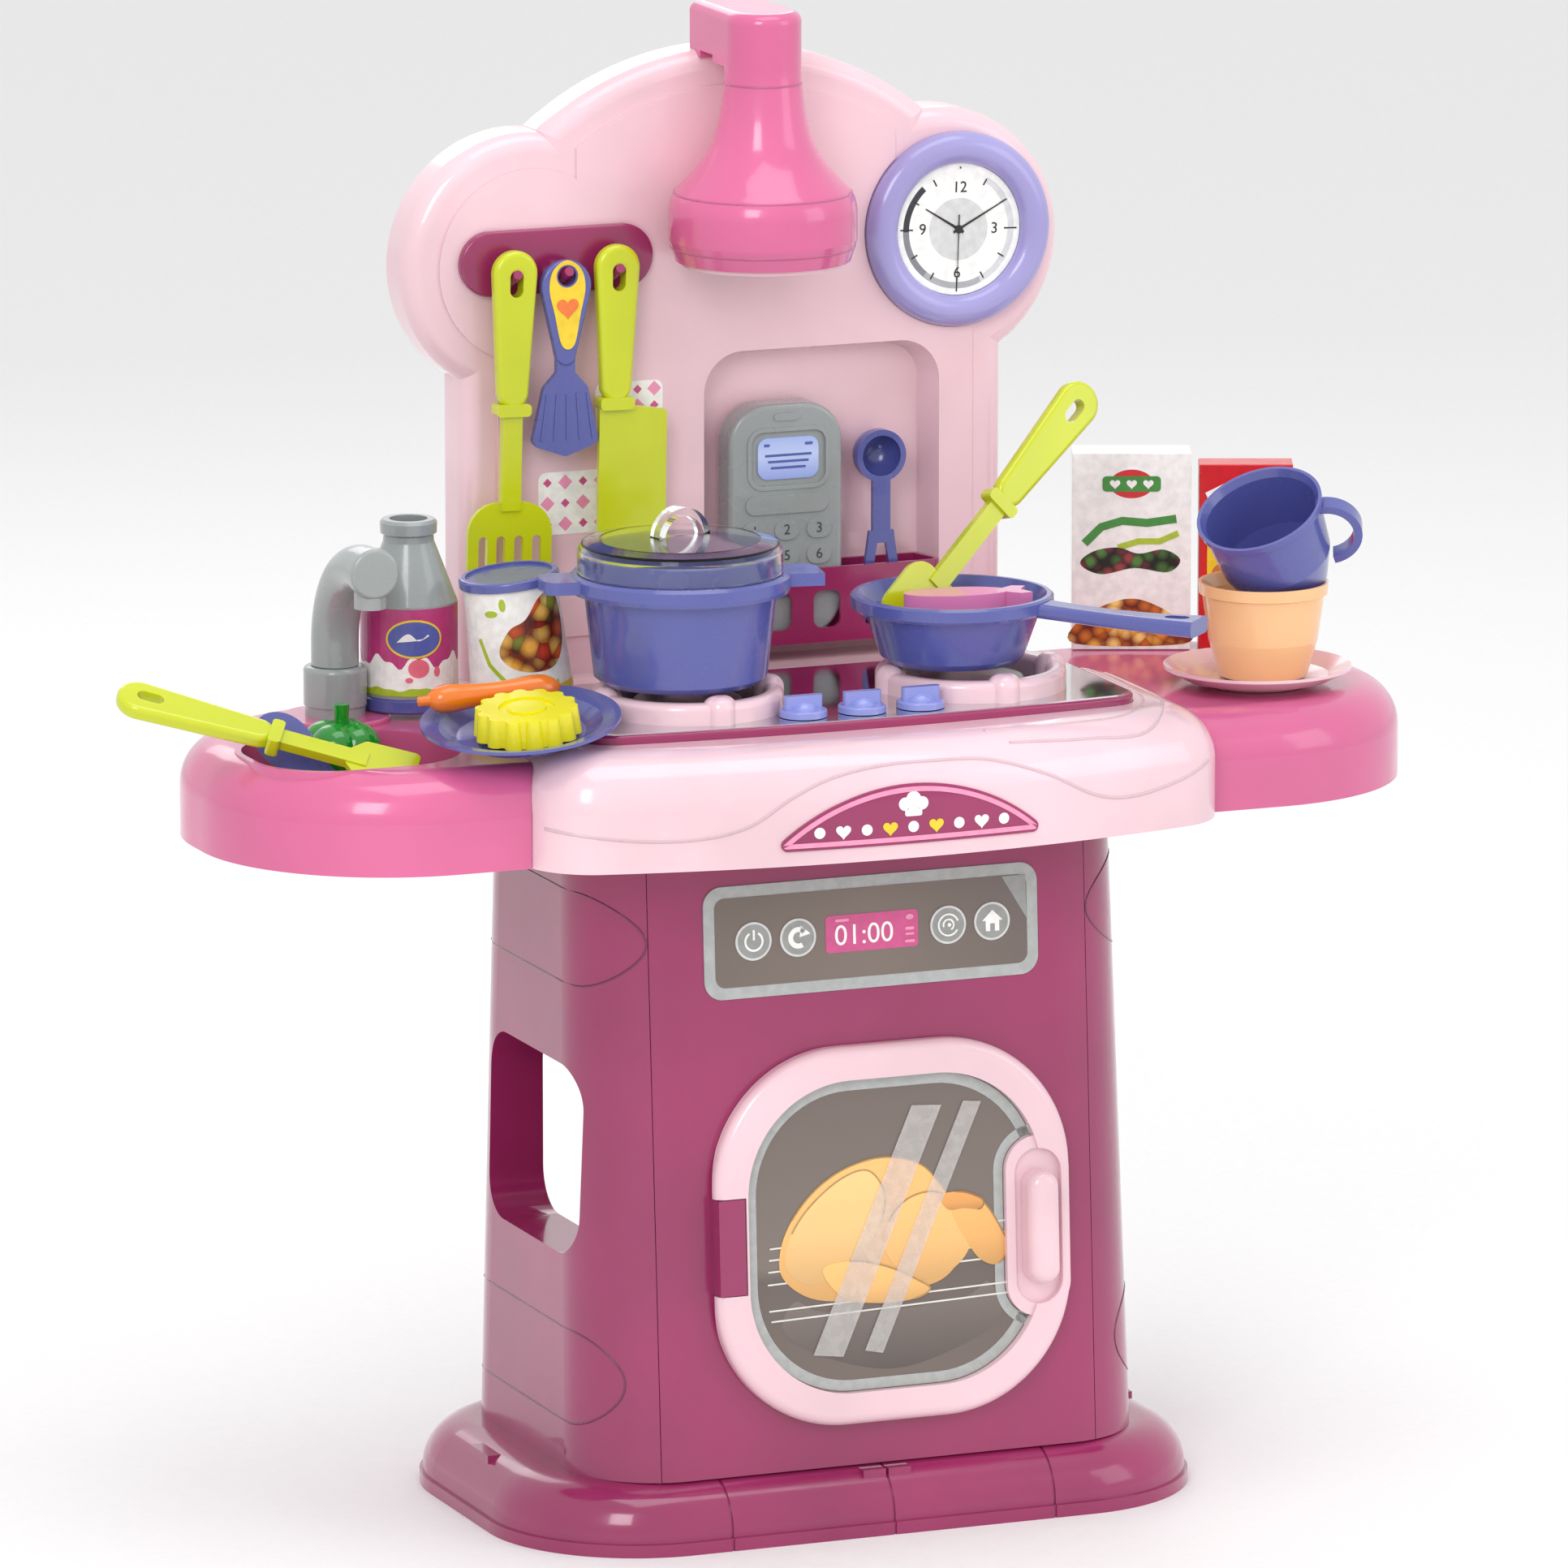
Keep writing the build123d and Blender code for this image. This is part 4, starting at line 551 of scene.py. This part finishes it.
for index, bx in enumerate(BUTTON_X):
    decal(f"button_rim_{index}", "cabinet", front_place, oval(bx, PANEL_Z, 9.0), pale_grey_ink,
          base=PANEL_TOP, height=0.9)
    decal(f"button_face_{index}", "cabinet", front_place, oval(bx, PANEL_Z, 7.9), mid_grey_ink,
          base=PANEL_TOP, height=1.1)
icon = PANEL_TOP + 1.1
x0, x1, x2, x3 = BUTTON_X
decal("icon_power", "cabinet", front_place, [
    stroke(oval(x0, PANEL_Z, 4.3, 4.3, 120, 420, 30), 1.0),
    stroke([(x0, PANEL_Z + 5.4), (x0, PANEL_Z + 0.6)], 1.0),
], white_ink, base=icon)
decal("icon_turn", "cabinet", front_place, [
    stroke(oval(x1, PANEL_Z, 3.9, 3.9, 40, 300, 28), 2.4),
    [(x1 + 1.2, PANEL_Z + 5.6), (x1 + 6, PANEL_Z + 1.6), (x1 + 0.6, PANEL_Z + 0.2)],
], white_ink, base=icon)
decal("icon_swirl", "cabinet", front_place, [
    stroke(oval(x2, PANEL_Z, 5.0, 5.0, 20, 330, 32), 0.8),
    stroke(oval(x2, PANEL_Z, 2.6, 2.6, -60, 200, 24), 0.8),
    oval(x2 + 0.4, PANEL_Z, 0.9),
], white_ink, base=icon)
decal("icon_house", "cabinet", front_place, [
    [(x3 - 5.2, PANEL_Z + 0.4), (x3, PANEL_Z + 5.4), (x3 + 5.2, PANEL_Z + 0.4), (x3 + 3.4, PANEL_Z + 0.4),
     (x3 + 3.4, PANEL_Z - 4.6), (x3 + 1.2, PANEL_Z - 4.6), (x3 + 1.2, PANEL_Z - 1), (x3 - 1.2, PANEL_Z - 1),
     (x3 - 1.2, PANEL_Z - 4.6), (x3 - 3.4, PANEL_Z - 4.6), (x3 - 3.4, PANEL_Z + 0.4)],
], white_ink, base=icon)
decal("panel_display", "cabinet", front_place, rounded(0, PANEL_Z, 46.5, 17.5, 2), pink_ink, base=PANEL_TOP,
      height=0.5)
figure("display_digits", "cabinet", "01:00", front_place, -4.0, PANEL_Z - 1.2, 13.5, white_ink,
       PANEL_TOP + 0.55)
decal("display_marks", "cabinet", front_place, [
    rounded(-15, PANEL_Z + 6.3, 7, 1.3, 0.6), oval(19, PANEL_Z + 5.4, 2.0, 1.3),
    rounded(19, PANEL_Z, 4.4, 1.4, 0.6), rounded(19, PANEL_Z - 2.6, 4.4, 1.0, 0.4),
    rounded(19, PANEL_Z - 6, 5, 1.3, 0.5),
], pale_pink_ink, base=PANEL_TOP + 0.5)

# ---- oven door print -----------------------------------------------------------------------------
DOOR_X, DOOR_Z = 6, 141
CARD_TOP = 0.4 + 3 + 1.2                # the door's clearance, its back and the card
BORDER_OUT, BORDER_OUT_R = 147, 51.5    # side and corner radius of the grey border
BORDER_IN, BORDER_IN_R = 137, 47
ring("door_print_border", "oven_door", front_place,
     rounded(DOOR_X, DOOR_Z, BORDER_OUT, BORDER_OUT, BORDER_OUT_R, 16),
     rounded(DOOR_X, DOOR_Z, BORDER_IN, BORDER_IN, BORDER_IN_R, 16), grey_ink, base=CARD_TOP)
decal("oven_floor_print", "oven_door", front_place, smooth([
    (-44, 112), (-30, 106), (6, 104), (42, 107), (54, 113), (60, 96), (40, 84), (6, 76), (-28, 84), (-50, 98),
]), fading("oven_floor", "Z", 74, 116, ((0.0, (88, 78, 74)), (1.0, (126, 114, 107)))), base=CARD_TOP,
    height=0.1)
# half length and height of each wire of the shelf
SHELF = ((62, 138), (62.5, 132.6), (63, 127), (63.4, 121), (63, 108.5), (62, 103.5))
decal("oven_shelf_print", "oven_door", front_place, [
    stroke([(DOOR_X - half, v), (DOOR_X + half, v + 3.5)], 0.8) for half, v in SHELF
], wire_ink, base=CARD_TOP + 0.1, height=0.2)
CHICKEN = {
    "body": (smooth([(-50, 124), (-50.5, 138), (-43, 153), (-30, 166), (-14, 174), (4, 176.5), (20, 172),
                     (30, 162), (37, 150), (42, 138), (40, 126), (30, 116), (10, 112), (-14, 110),
                     (-36, 113)]), (243, 186, 112)),
    "breast": (smooth([(-48, 128), (-46, 142), (-36, 156), (-20, 168), (-6, 171), (2, 160), (0, 146),
                       (-8, 134), (-20, 124), (-36, 119)]), (247, 198, 130)),
    "thigh": (smooth([(2, 132), (4, 146), (14, 156), (28, 158), (40, 150), (46, 138), (42, 126), (30, 118),
                      (14, 118)]), (246, 190, 118)),
    "leg": (smooth([(36, 148), (44, 153), (52, 151), (60, 139), (64, 128), (58, 121), (50, 124), (44, 132)]),
            (238, 178, 104)),
    "bone": (smooth([(30, 156), (40, 157), (48, 154.5), (52, 151.5), (50, 148), (42, 149), (34, 149)]),
             (228, 160, 88)),
    "wing": (smooth([(-30, 126), (-16, 129), (2, 125), (18, 117), (24, 112), (14, 108), (-4, 108),
                     (-20, 112)]), (244, 188, 114)),
}
for level, (part, (outline, tone)) in enumerate(CHICKEN.items()):
    grown = [(DOOR_X - 6 + u, v) for u, v in outline]
    low = min(v for _, v in grown)
    high = max(v for _, v in grown)
    shades = ((0.0, scaled(tone, 0.86)), (0.45, tone), (1.0, scaled(tone, 1.05)))
    decal(f"chicken_{part}", "oven_door", front_place, grown, fading(f"roast_{part}", "Z", low, high, shades),
          base=CARD_TOP + 0.1, height=0.25 + 0.08 * level)
    upper_edge = grown[len(grown) // 8:len(grown) * 5 // 8]
    decal(f"chicken_{part}_line", "oven_door", front_place, stroke(upper_edge, 0.8),
          printed(f"roast_line_{part}", scaled(tone, 0.72)), base=CARD_TOP + 0.1, height=0.32 + 0.08 * level)
glare = printed("glare_print", (232, 228, 224), rough=0.3)
glare.node_tree.nodes["Principled BSDF"].inputs["Alpha"].default_value = 0.3
GLARE_SHIFT = -52                       # how far a stripe leans from its top to its foot
for index, (top_u, half) in enumerate(((24, 7.5), (47, 4.5))):
    decal(f"door_glare_{index}", "oven_door", front_place, [
        (top_u - half, 200), (top_u + half, 199),
        (top_u + GLARE_SHIFT + half, 84), (top_u + GLARE_SHIFT - half, 86),
    ], glare, base=CARD_TOP + 0.9, height=0.1)
SCOOP_X, SCOOP_R = 78.5, 18.8           # the border goes round the handle's scoop on its left
SCOOP_HIGH, SCOOP_LOW = 165, 111
decal("handle_scoop_print", "oven_door", front_place, stroke(
    oval(SCOOP_X, SCOOP_HIGH, SCOOP_R, start=90, end=180, steps=12)
    + oval(SCOOP_X, SCOOP_LOW, SCOOP_R, start=180, end=270, steps=12), 4.6), grey_ink, base=CARD_TOP)

# ---- clock face ----------------------------------------------------------------------------------
dial_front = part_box("clock_dial")[0].y * 1000
CLOCK_X, CLOCK_Z = 112.6, 582
TILT = math.radians(2)
clock_place = flat_place((CLOCK_X, dial_front, CLOCK_Z), (math.cos(TILT), 0, -math.sin(TILT)),
                         (math.sin(TILT), 0, math.cos(TILT)))
decal("clock_centre", "cabinet", clock_place, oval(0, 0, 15), pale_grey_ink, height=0.1)
SHADES = (
    printed("arc_dark", (44, 48, 56)), printed("arc_mid", (130, 134, 138)),
    printed("arc_soft", (172, 174, 176)), printed("arc_pale", (214, 216, 218)),
)
for index, (start, end) in enumerate(((133, 182), (182, 232), (232, 296), (296, 420))):
    decal(f"clock_arc_{index}", "cabinet", clock_place, stroke(oval(0, 0, 27, 27, start, end, 26), 3.0),
          SHADES[index], height=0.12)
for hour in range(12):
    angle = math.radians(90 - 30 * hour)
    inner, outer = (24, 27.5)
    if hour in (0, 3, 6, 9):
        inner, outer = (23.5, 30) if hour else (29, 30)
    decal(f"clock_tick_{hour}", "cabinet", clock_place, stroke([
        (inner * math.cos(angle), inner * math.sin(angle)),
        (outer * math.cos(angle), outer * math.sin(angle)),
    ], 0.7), black_ink, base=0.1, height=0.1)
for text, u, v in (("12", 0, 20), ("3", 18.5, 0), ("6", 0, -21), ("9", -18.5, 0)):
    figure(f"clock_numeral_{text}", "cabinet", text, clock_place, u, v, 7.5, black_ink, 0.15)


def hand(name, degrees, length, tail, width, level):
    angle = math.radians(degrees)
    along = Vector((math.cos(angle), math.sin(angle)))
    side = Vector((-along.y, along.x)) * width / 2
    tip, end = along * length, -along * tail
    outline = [tuple(end + side), tuple(end - side), tuple(tip - side * 0.4), tuple(tip + side * 0.4)]
    decal(name, "cabinet", clock_place, outline, black_ink, base=level, height=0.15)


hand("clock_hour_hand", 150, 20, 3, 1.5, 0.25)
hand("clock_minute_hand", 30, 28, 3, 1.2, 0.4)
hand("clock_second_hand", 270, 25, 7, 0.6, 0.55)
decal("clock_boss", "cabinet", clock_place, oval(0, 0, 2.0), black_ink, base=0.2, height=0.7)

# ---- badge on the counter: a border, a chef's hat and hearts in place of lettering ---------------
badge_place = onto_place("badge_plate")
BADGE_Z, BADGE_H, BADGE_HALF = 334, 28, 69


def arch(inset):
    """The badge's own outline, a circular arc over a straight foot, moved in by inset."""
    full = (BADGE_HALF**2 + BADGE_H**2) / (2 * BADGE_H)
    centre = BADGE_Z + BADGE_H - full
    radius = full - inset
    foot = BADGE_Z + inset
    sweep = math.acos((foot - centre) / radius)
    half = radius * math.sin(sweep)
    angles = [sweep * (1 - i / 20) for i in range(41)]
    top = [(radius * math.sin(a), centre + radius * math.cos(a)) for a in angles]
    return top + [(half * (i / 20 - 1), foot) for i in range(1, 40)]


ring("badge_border", "cabinet", badge_place, arch(1.4), arch(3.6), pale_pink_ink, height=0.5)
hat = [oval(0, 355, 3.6), oval(-4.2, 352.8, 3.1), oval(4.2, 352.8, 3.1), rounded(0, 349.5, 8.4, 5, 1)]
decal("badge_hat", "cabinet", badge_place, hat, white_ink, height=0.5, bend=3)
for index in range(9):
    u = (index - 4) * 11.5
    shape = heart(u, 342, 7.2) if index % 2 else oval(u, 342, 2.6)
    decal(f"badge_mark_{index}", "cabinet", badge_place, shape, yellow_ink if index in (3, 5) else white_ink,
          height=0.45, bend=3)

# ---- tile stickers on the backsplash -------------------------------------------------------------
WALL_Y = 83.8                           # front of the backsplash's field
wall_place = flat_place((0, WALL_Y, 0), (1, 0, 0), (0, 0, 1))
for tag, (left, right, low, high) in (("a", (-101, -38, 448, 478)), ("b", (-72, -38, 495, 519))):
    middle_u, middle_v = (left + right) / 2, (low + high) / 2
    decal(f"tile_{tag}", "cabinet", wall_place, rounded(middle_u, middle_v, right - left, high - low, 4),
          white_ink)
    diamonds = []
    columns = int((right - left) / 8)
    rows = int((high - low) / 8)
    for i in range(columns):
        for j in range(rows):
            u = left + (i + 0.5) * (right - left) / columns
            v = low + (j + 0.5) * (high - low) / rows
            size = 3.6 if (i + j) % 2 else 2.2
            diamonds.append([(u - size, v), (u, v - size), (u + size, v), (u, v + size)])
    decal(f"tile_{tag}_diamonds", "cabinet", wall_place, diamonds[::2], pink_ink, base=PRINT_T, height=0.1)
    decal(f"tile_{tag}_pale", "cabinet", wall_place, diamonds[1::2], pale_pink_ink, base=PRINT_T, height=0.1)

# ---- phone ---------------------------------------------------------------------------------------
phone_low, phone_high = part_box("phone")
PHONE_X = 24
FLOOR = phone_low.z * 1000
phone_front = phone_low.y * 1000
phone_place = flat_place((PHONE_X, phone_front, FLOOR), (1, 0, 0), (0, 0, 1))
KEY_Z = 113 - 73
ring("phone_bezel", "phone", phone_place, rounded(1, 87, 42, 30, 8), rounded(1, 87, 38, 26, 6), grey,
     base=-2.5, height=2.2)
for row in range(3):
    for column in range(3):
        key = 3 * row + column + 1
        figure(f"phone_key_{key}", "phone", str(key), phone_place, (column - 1) * 16.5,
               KEY_Z + (1 - row) * 12.5, 7, dark_ink, 0.1)
screen_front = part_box("phone_screen")[0].y * 1000
lcd_place = flat_place((PHONE_X + 1, screen_front, FLOOR + 87), (1, 0, 0), (0, 0, 1))
lines = [rounded(0, 1.5 - 3 * i, 24 - 3 * i, 1.2, 0.5) for i in range(3)]
corner_marks = [rounded(-11, 6.5, 3, 1.4, 0.4), rounded(10.5, 6.5, 4, 1.4, 0.4)]
decal("phone_lcd_marks", "phone", lcd_place, lines + corner_marks, blue_ink, height=0.08)

# ---- spatula label -------------------------------------------------------------------------------
SPATULA_X = -92.3
label_place = flat_place((SPATULA_X, 67.5, 574), (1, 0, 0.01), (-0.01, 0, 1))


def paddle(grow):
    """Teardrop of the spatula's handle."""
    return smooth([
        (0, 7.6 + grow), (-7 - grow, 3), (-9 - grow, -6), (-6.5 - grow, -18), (-3 - grow * 0.6, -33 - grow),
        (3 + grow * 0.6, -33 - grow), (6.5 + grow, -18), (9 + grow, -6), (7 + grow, 3),
    ])


upper = paddle(0)
start = min(range(len(upper)), key=lambda i: abs(math.atan2(upper[i][1], upper[i][0])))
ordered = upper[start:] + upper[:start]
if ordered[3][1] < ordered[0][1]:
    ordered = [ordered[0]] + ordered[:0:-1]
angles = [math.atan2(v, u) for u, v in ordered]
LABEL_HOLE_R = 5.4
hole = [(LABEL_HOLE_R * math.cos(a), LABEL_HOLE_R * math.sin(a)) for a in angles]
ring("spatula_label", "hanging_spatula", label_place, ordered, hole, yellow_ink, height=0.3)
decal("spatula_heart", "hanging_spatula", label_place, heart(0, -15, 11), orange_ink, base=0.3, height=0.2)
decal("spatula_ribs", "hanging_spatula", flat_place((SPATULA_X, 68.2, 574), (1, 0, 0), (0, 0, 1)), [
    stroke([(-10 + 5 * i, -56), (-13 + 6.5 * i, -78)], 1.1) for i in range(5)
], indigo, height=0.5)

# ---- bottle, can and cartons ---------------------------------------------------------------------
bottle_low, bottle_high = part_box("milk_bottle")
bottle_axis = (bottle_low + bottle_high) * 500
BOTTLE_FACING = (-0.37, -0.93, 0)
BOTTLE_R = 22.7
bottle_place = wrap_place((bottle_axis.x, bottle_axis.y, bottle_low.z * 1000), (0, 0, 1), BOTTLE_FACING,
                          lambda v: BOTTLE_R)


def band(low, high, radius=BOTTLE_R, wave=0.0, steps=96):
    """All the way round a bottle, from low to a top edge that can wave."""
    around = 2 * math.pi * radius * 0.998
    bottom = [(around * (i / steps - 0.5), low) for i in range(steps + 1)]
    top = [(u, high + wave * math.sin(u * 0.32) + wave * 0.5 * math.sin(u * 0.75 + 1)) for u, _ in bottom]
    return bottom + top[::-1]


decal("bottle_label", "bottle", bottle_place, band(2, 43), magenta_ink, bend=3)
berry_ink = printed("berry_print", (232, 110, 130))
berries = [oval(5, 15, 5, 4.4), oval(0.5, 9.5, 1.8, 1.3), oval(14, 13, 1.6, 2.4)]
swirl = stroke(smooth([(-5, 27), (0, 31), (5, 27.5), (10, 31), (5, 29), (0, 33)]), 1.2)[:24]
for name, outlines, ink, height in (
    ("splash", band(4, 18, wave=2.5), white_ink, 0.1),
    ("lime_edge", band(1.8, 5, wave=0.6), lime_ink, 0.15),
    ("oval_edge", oval(3, 29, 13.6, 9.2), yellow_ink, 0.15),
    ("oval", oval(3, 29, 12.6, 8.2), blue_ink, 0.25),
    ("berry", berries, berry_ink, 0.3),
    ("bow", [swirl], white_ink, 0.32),
):
    decal(f"bottle_{name}", "bottle", bottle_place, outlines, ink, base=PRINT_T, height=height, bend=3)

CAN_AXIS = Vector((-0.12, 0, 0.99)).normalized()
CAN_FOOT = (-133, 22, 387.9)
can_place = wrap_place(CAN_FOOT, CAN_AXIS, (-0.2, -0.98, 0), lambda v: 24 - v / 26)
vegetables = pieces_of_food("mixed_food_print", (
    (236, 170, 60), (214, 92, 40), (246, 214, 130), (150, 160, 50), (240, 190, 90), (196, 60, 30),
), 130.0, (120, 60, 30))
decal("can_band", "can", can_place, band(0.4, 4.5, 23.9), yellow_ink, height=0.15, bend=3)
decal("can_food", "can", can_place, smooth([
    (-12, 24), (-6, 34), (2, 38), (10, 47), (19, 49), (24, 38), (23, 24), (15, 14), (2, 13), (-8, 17),
]), vegetables, height=0.2, bend=3)
decal("can_leaf", "can", can_place, [oval(-14, 42, 3.2, 1.6), oval(-8, 46, 1.6, 3.0)], lime_ink,
      height=0.2, bend=3)
decal("can_swoosh", "can", can_place, stroke([(-22, 30), (-18, 18), (-10, 9), (2, 4.5), (16, 6)], 2.0),
      lime_ink, height=0.2, bend=3)


def carton_front(node, turn_degrees):
    """Plane of a carton's front face: origin at its lower left corner, plus width and height."""
    verts = [v.co * 1000 for v in NODES[node].data.vertices]
    turn = math.radians(turn_degrees)
    along = Vector((math.cos(turn), math.sin(turn), 0))
    out = Vector((along.y, -along.x, 0))
    left = min(v.dot(along) for v in verts)
    width = max(v.dot(along) for v in verts) - left
    depth = max(v.dot(out) for v in verts)
    low = min(v.z for v in verts)
    height = max(v.z for v in verts) - low
    return flat_place(along * left + out * depth + Vector((0, 0, low)), along, (0, 0, 1)), width, height


flakes = pieces_of_food("flakes_print", (
    (240, 180, 70), (226, 140, 40), (250, 210, 120), (200, 110, 30),
), 170.0, (130, 70, 20))
fruit = pieces_of_food("fruit_print", (
    (110, 40, 50), (80, 130, 50), (60, 100, 40), (150, 60, 60),
), 190.0, (40, 50, 20))
CARTON_TURN = -22
box_place, box_w, box_h = carton_front("cereal_box", CARTON_TURN)
mid = box_w / 2
decal("cereal_oval_rim", "cereal_box", box_place, [oval(mid, box_h - 15, 11.5, 8)], white_ink, height=0.1)
decal("cereal_oval", "cereal_box", box_place, [oval(mid, box_h - 15, 10.5, 7)], red_ink, height=0.2)
decal("cereal_banner", "cereal_box", box_place, rounded(mid, box_h - 15, 28, 7.5, 2), green_ink, height=0.3)
decal("cereal_stars", "cereal_box", box_place, [heart(mid - 8 + 8 * i, box_h - 15, 5) for i in range(3)],
      white_ink, base=0.3, height=0.1)
decal("cereal_swoosh", "cereal_box", box_place, stroke([(6, 52), (14, 60), (24, 63), (36, 62), (50, 64)], 4),
      green_ink, height=0.15)
decal("cereal_swoosh_lime", "cereal_box", box_place, stroke([(22, 50), (32, 53), (42, 53), (51, 57)], 3),
      lime_ink, height=0.15)
decal("cereal_fruit", "cereal_box", box_place, smooth([
    (4, 42), (10, 48), (22, 50), (32, 47), (44, 49), (52, 44), (46, 38), (30, 40), (14, 37),
]), fruit, height=0.15)
decal("cereal_flakes", "cereal_box", box_place, smooth([
    (2, 3), (3, 14), (16, 22), (30, 25), (44, 20), (54, 12), (54, 3),
]), flakes, height=0.15)
turned_back = math.radians(-CARTON_TURN)
side_place = flat_place(box_place(box_w, 0, 0) * 1000, (math.sin(turned_back), math.cos(turned_back), 0),
                        (0, 0, 1))
decal("cereal_side_band", "cereal_box", side_place, [
    rounded(10.5, 84, 17, 10, 1), rounded(10.5, 40, 14, 46, 1),
], lime_ink, height=0.1)
bis_place, bis_w, bis_h = carton_front("biscuit_box", CARTON_TURN)
decal("biscuit_panel", "biscuit_box", bis_place, rounded(bis_w / 2, bis_h * 0.42, bis_w - 8, 40, 6),
      yellow_ink, height=0.12)
rounds = [oval(12 + 10 * i, 36 + 5 * (i % 2), 6, 6) for i in range(3)]
decal("biscuit_rounds", "biscuit_box", bis_place, rounds,
      printed("biscuit_print", (196, 120, 60)), base=0.1, height=0.15)
decal("biscuit_sash", "biscuit_box", bis_place, stroke([(4, 74), (16, 80), (30, 79), (41, 82)], 5), white_ink,
      height=0.15)

# ---- moulded lines on the shells, in darker plastic as painted shade -----------------------------
HOOD_Y = 51
HOOD_SEAMS = (("hood_seam_low", 585.5, 44.5), ("hood_seam_high", 611, 40.6), ("hood_neck_seam", 663, 18.6))
for name, height, radius in HOOD_SEAMS:
    tree = tree_of("hood_body")
    loop = []
    for i in range(72):
        angle = 2 * math.pi * i / 72
        out = Vector((math.cos(angle), math.sin(angle), 0))
        hit = tree.ray_cast(at_mm(6, HOOD_Y, height) + out * 0.08, -out)[0]
        if hit is not None:
            loop.append(hit - out * 0.0002)
    if len(loop) > 60:
        bead(name, "cabinet", loop, 0.55, hood_painted_groove_shade, closed=True)

counter_top = onto_place("counter_centre", (1, 0, 0), (0, 1, 0), (0, 0, -1), (0, 0, 600))
counter_front = onto_place("counter_centre")


def counter_line(name, points, radius, place, steps=7):
    path = []
    for a, b, c, d in zip([points[0]] + points, points, points[1:], points[2:] + [points[-1]]):
        a, b, c, d = (Vector(p) for p in (a, b, c, d))
        for s in range(steps):
            t = s / steps
            p = 0.5 * (2 * b + (c - a) * t + (2 * a - 5 * b + 4 * c - d) * t**2 + (3 * b - a - 3 * c + d) * t**3)
            path.append(place(p.x, p.y, -radius * 0.4))
    path.append(place(*points[-1], -radius * 0.4))
    bead(name, "cabinet", path, radius, pink_painted_groove_shade)


counter_line("counter_swoosh", [(-168, 347), (-130, 342), (-100, 342), (-78, 347), (-60, 358), (-40, 366), (-15, 370),
                                (10, 370.5), (40, 369), (70, 360), (95, 348), (115, 345), (140, 349), (160, 356)],
             0.9, counter_front)
for index, (grow, end_y) in enumerate(((7, 40), (16, 36))):
    half = 138 + grow
    counter_line(f"counter_step_{index}", [
        (half - 6, end_y), (half + 2, 10), (half + 3, -30), (half - 2, -70), (half - 22, -92 - grow),
        (half - 60, -101 - grow), (half - 100, -104 - grow),
    ], 0.9, counter_top)

for side in (-1, 1):
    tag = "left" if side < 0 else "right"
    shell = onto_place(f"{tag}_side_panel", (0, 1, 0), (0, 0, 1), (-side, 0, 0), (side * 400, 0, 0))
    for index, (mid_z, half_h, tip) in enumerate(((283, 22, -50), (76, 22, -56))):
        outline = []
        for i in range(25):
            angle = math.radians(90 + 180 * i / 24)
            outline.append((tip + half_h * math.cos(angle) * 1.3, mid_z + half_h * math.sin(angle)))
        top = [(84 - (84 - outline[0][0]) * i / 12, mid_z + half_h) for i in range(12)]
        bottom = [(outline[-1][0] + (84 - outline[-1][0]) * i / 12, mid_z - half_h) for i in range(1, 13)]
        path = [shell(u, v, -0.15) for u, v in top + outline + bottom]
        bead(f"{tag}_tongue_{index}", "cabinet", path, 0.55, magenta_shade_for_grooves)

# ---- stage, light and camera ---------------------------------------------------------------------
floor_mesh = bpy.data.meshes.new("floor")
floor_bm = bmesh.new()
bmesh.ops.create_grid(floor_bm, x_segments=1, y_segments=1, size=12)
floor_bm.to_mesh(floor_mesh)
floor_bm.free()
floor = bpy.data.objects.new("floor", floor_mesh)
bpy.context.scene.collection.objects.link(floor)
floor_mesh.materials.append(printed("floor_paper", (238, 238, 238), rough=0.7, mottle=0.004, coat=0.0))


def softbox(name, place, aim, size, power, colour=(1, 1, 1)):
    light = bpy.data.lights.new(name, "AREA")
    light.shape = "RECTANGLE"
    light.size, light.size_y = size
    light.energy = power
    light.color = colour
    lamp = bpy.data.objects.new(name, light)
    bpy.context.scene.collection.objects.link(lamp)
    lamp.location = place
    lamp.rotation_euler = (Vector(aim) - Vector(place)).to_track_quat("-Z", "Y").to_euler()


TARGET = at_mm(-9.2, 2.0, 337.0)
softbox("key_softbox", (-1.6, -2.2, 1.9), TARGET, (0.9, 1.4), 24)
softbox("fill_softbox", (1.9, -1.8, 1.2), TARGET, (1.2, 1.6), 8)
softbox("top_softbox", (0.1, -0.4, 2.3), TARGET, (1.4, 1.0), 9)
softbox("back_softbox", (0.4, 2.2, 1.7), TARGET, (1.6, 1.2), 9)
world = bpy.data.worlds.new("studio")
world.use_nodes = True
world.node_tree.nodes["Background"].inputs["Color"].default_value = (1, 1, 1, 1)
world.node_tree.nodes["Background"].inputs["Strength"].default_value = 0.92
bpy.context.scene.world = world
bpy.context.scene.view_settings.view_transform = "Standard"

AZIMUTH, ELEVATION = math.radians(22.1), math.radians(11.5)
BACK = Vector((
    -math.sin(AZIMUTH) * math.cos(ELEVATION), -math.cos(AZIMUTH) * math.cos(ELEVATION), math.sin(ELEVATION),
))
SIGHT_DISTANCE = 6.107
FRAME_WIDTH_AT_TARGET = 1932 / 2620
camera_data = bpy.data.cameras.new("camera")
camera_data.sensor_width = 36
camera_data.lens = 36 * SIGHT_DISTANCE / FRAME_WIDTH_AT_TARGET
camera_data.clip_end = 60
camera = bpy.data.objects.new("camera", camera_data)
bpy.context.scene.collection.objects.link(camera)
camera.location = TARGET + BACK * SIGHT_DISTANCE
camera.rotation_euler = (-BACK).to_track_quat("-Z", "Y").to_euler()
bpy.context.scene.camera = camera
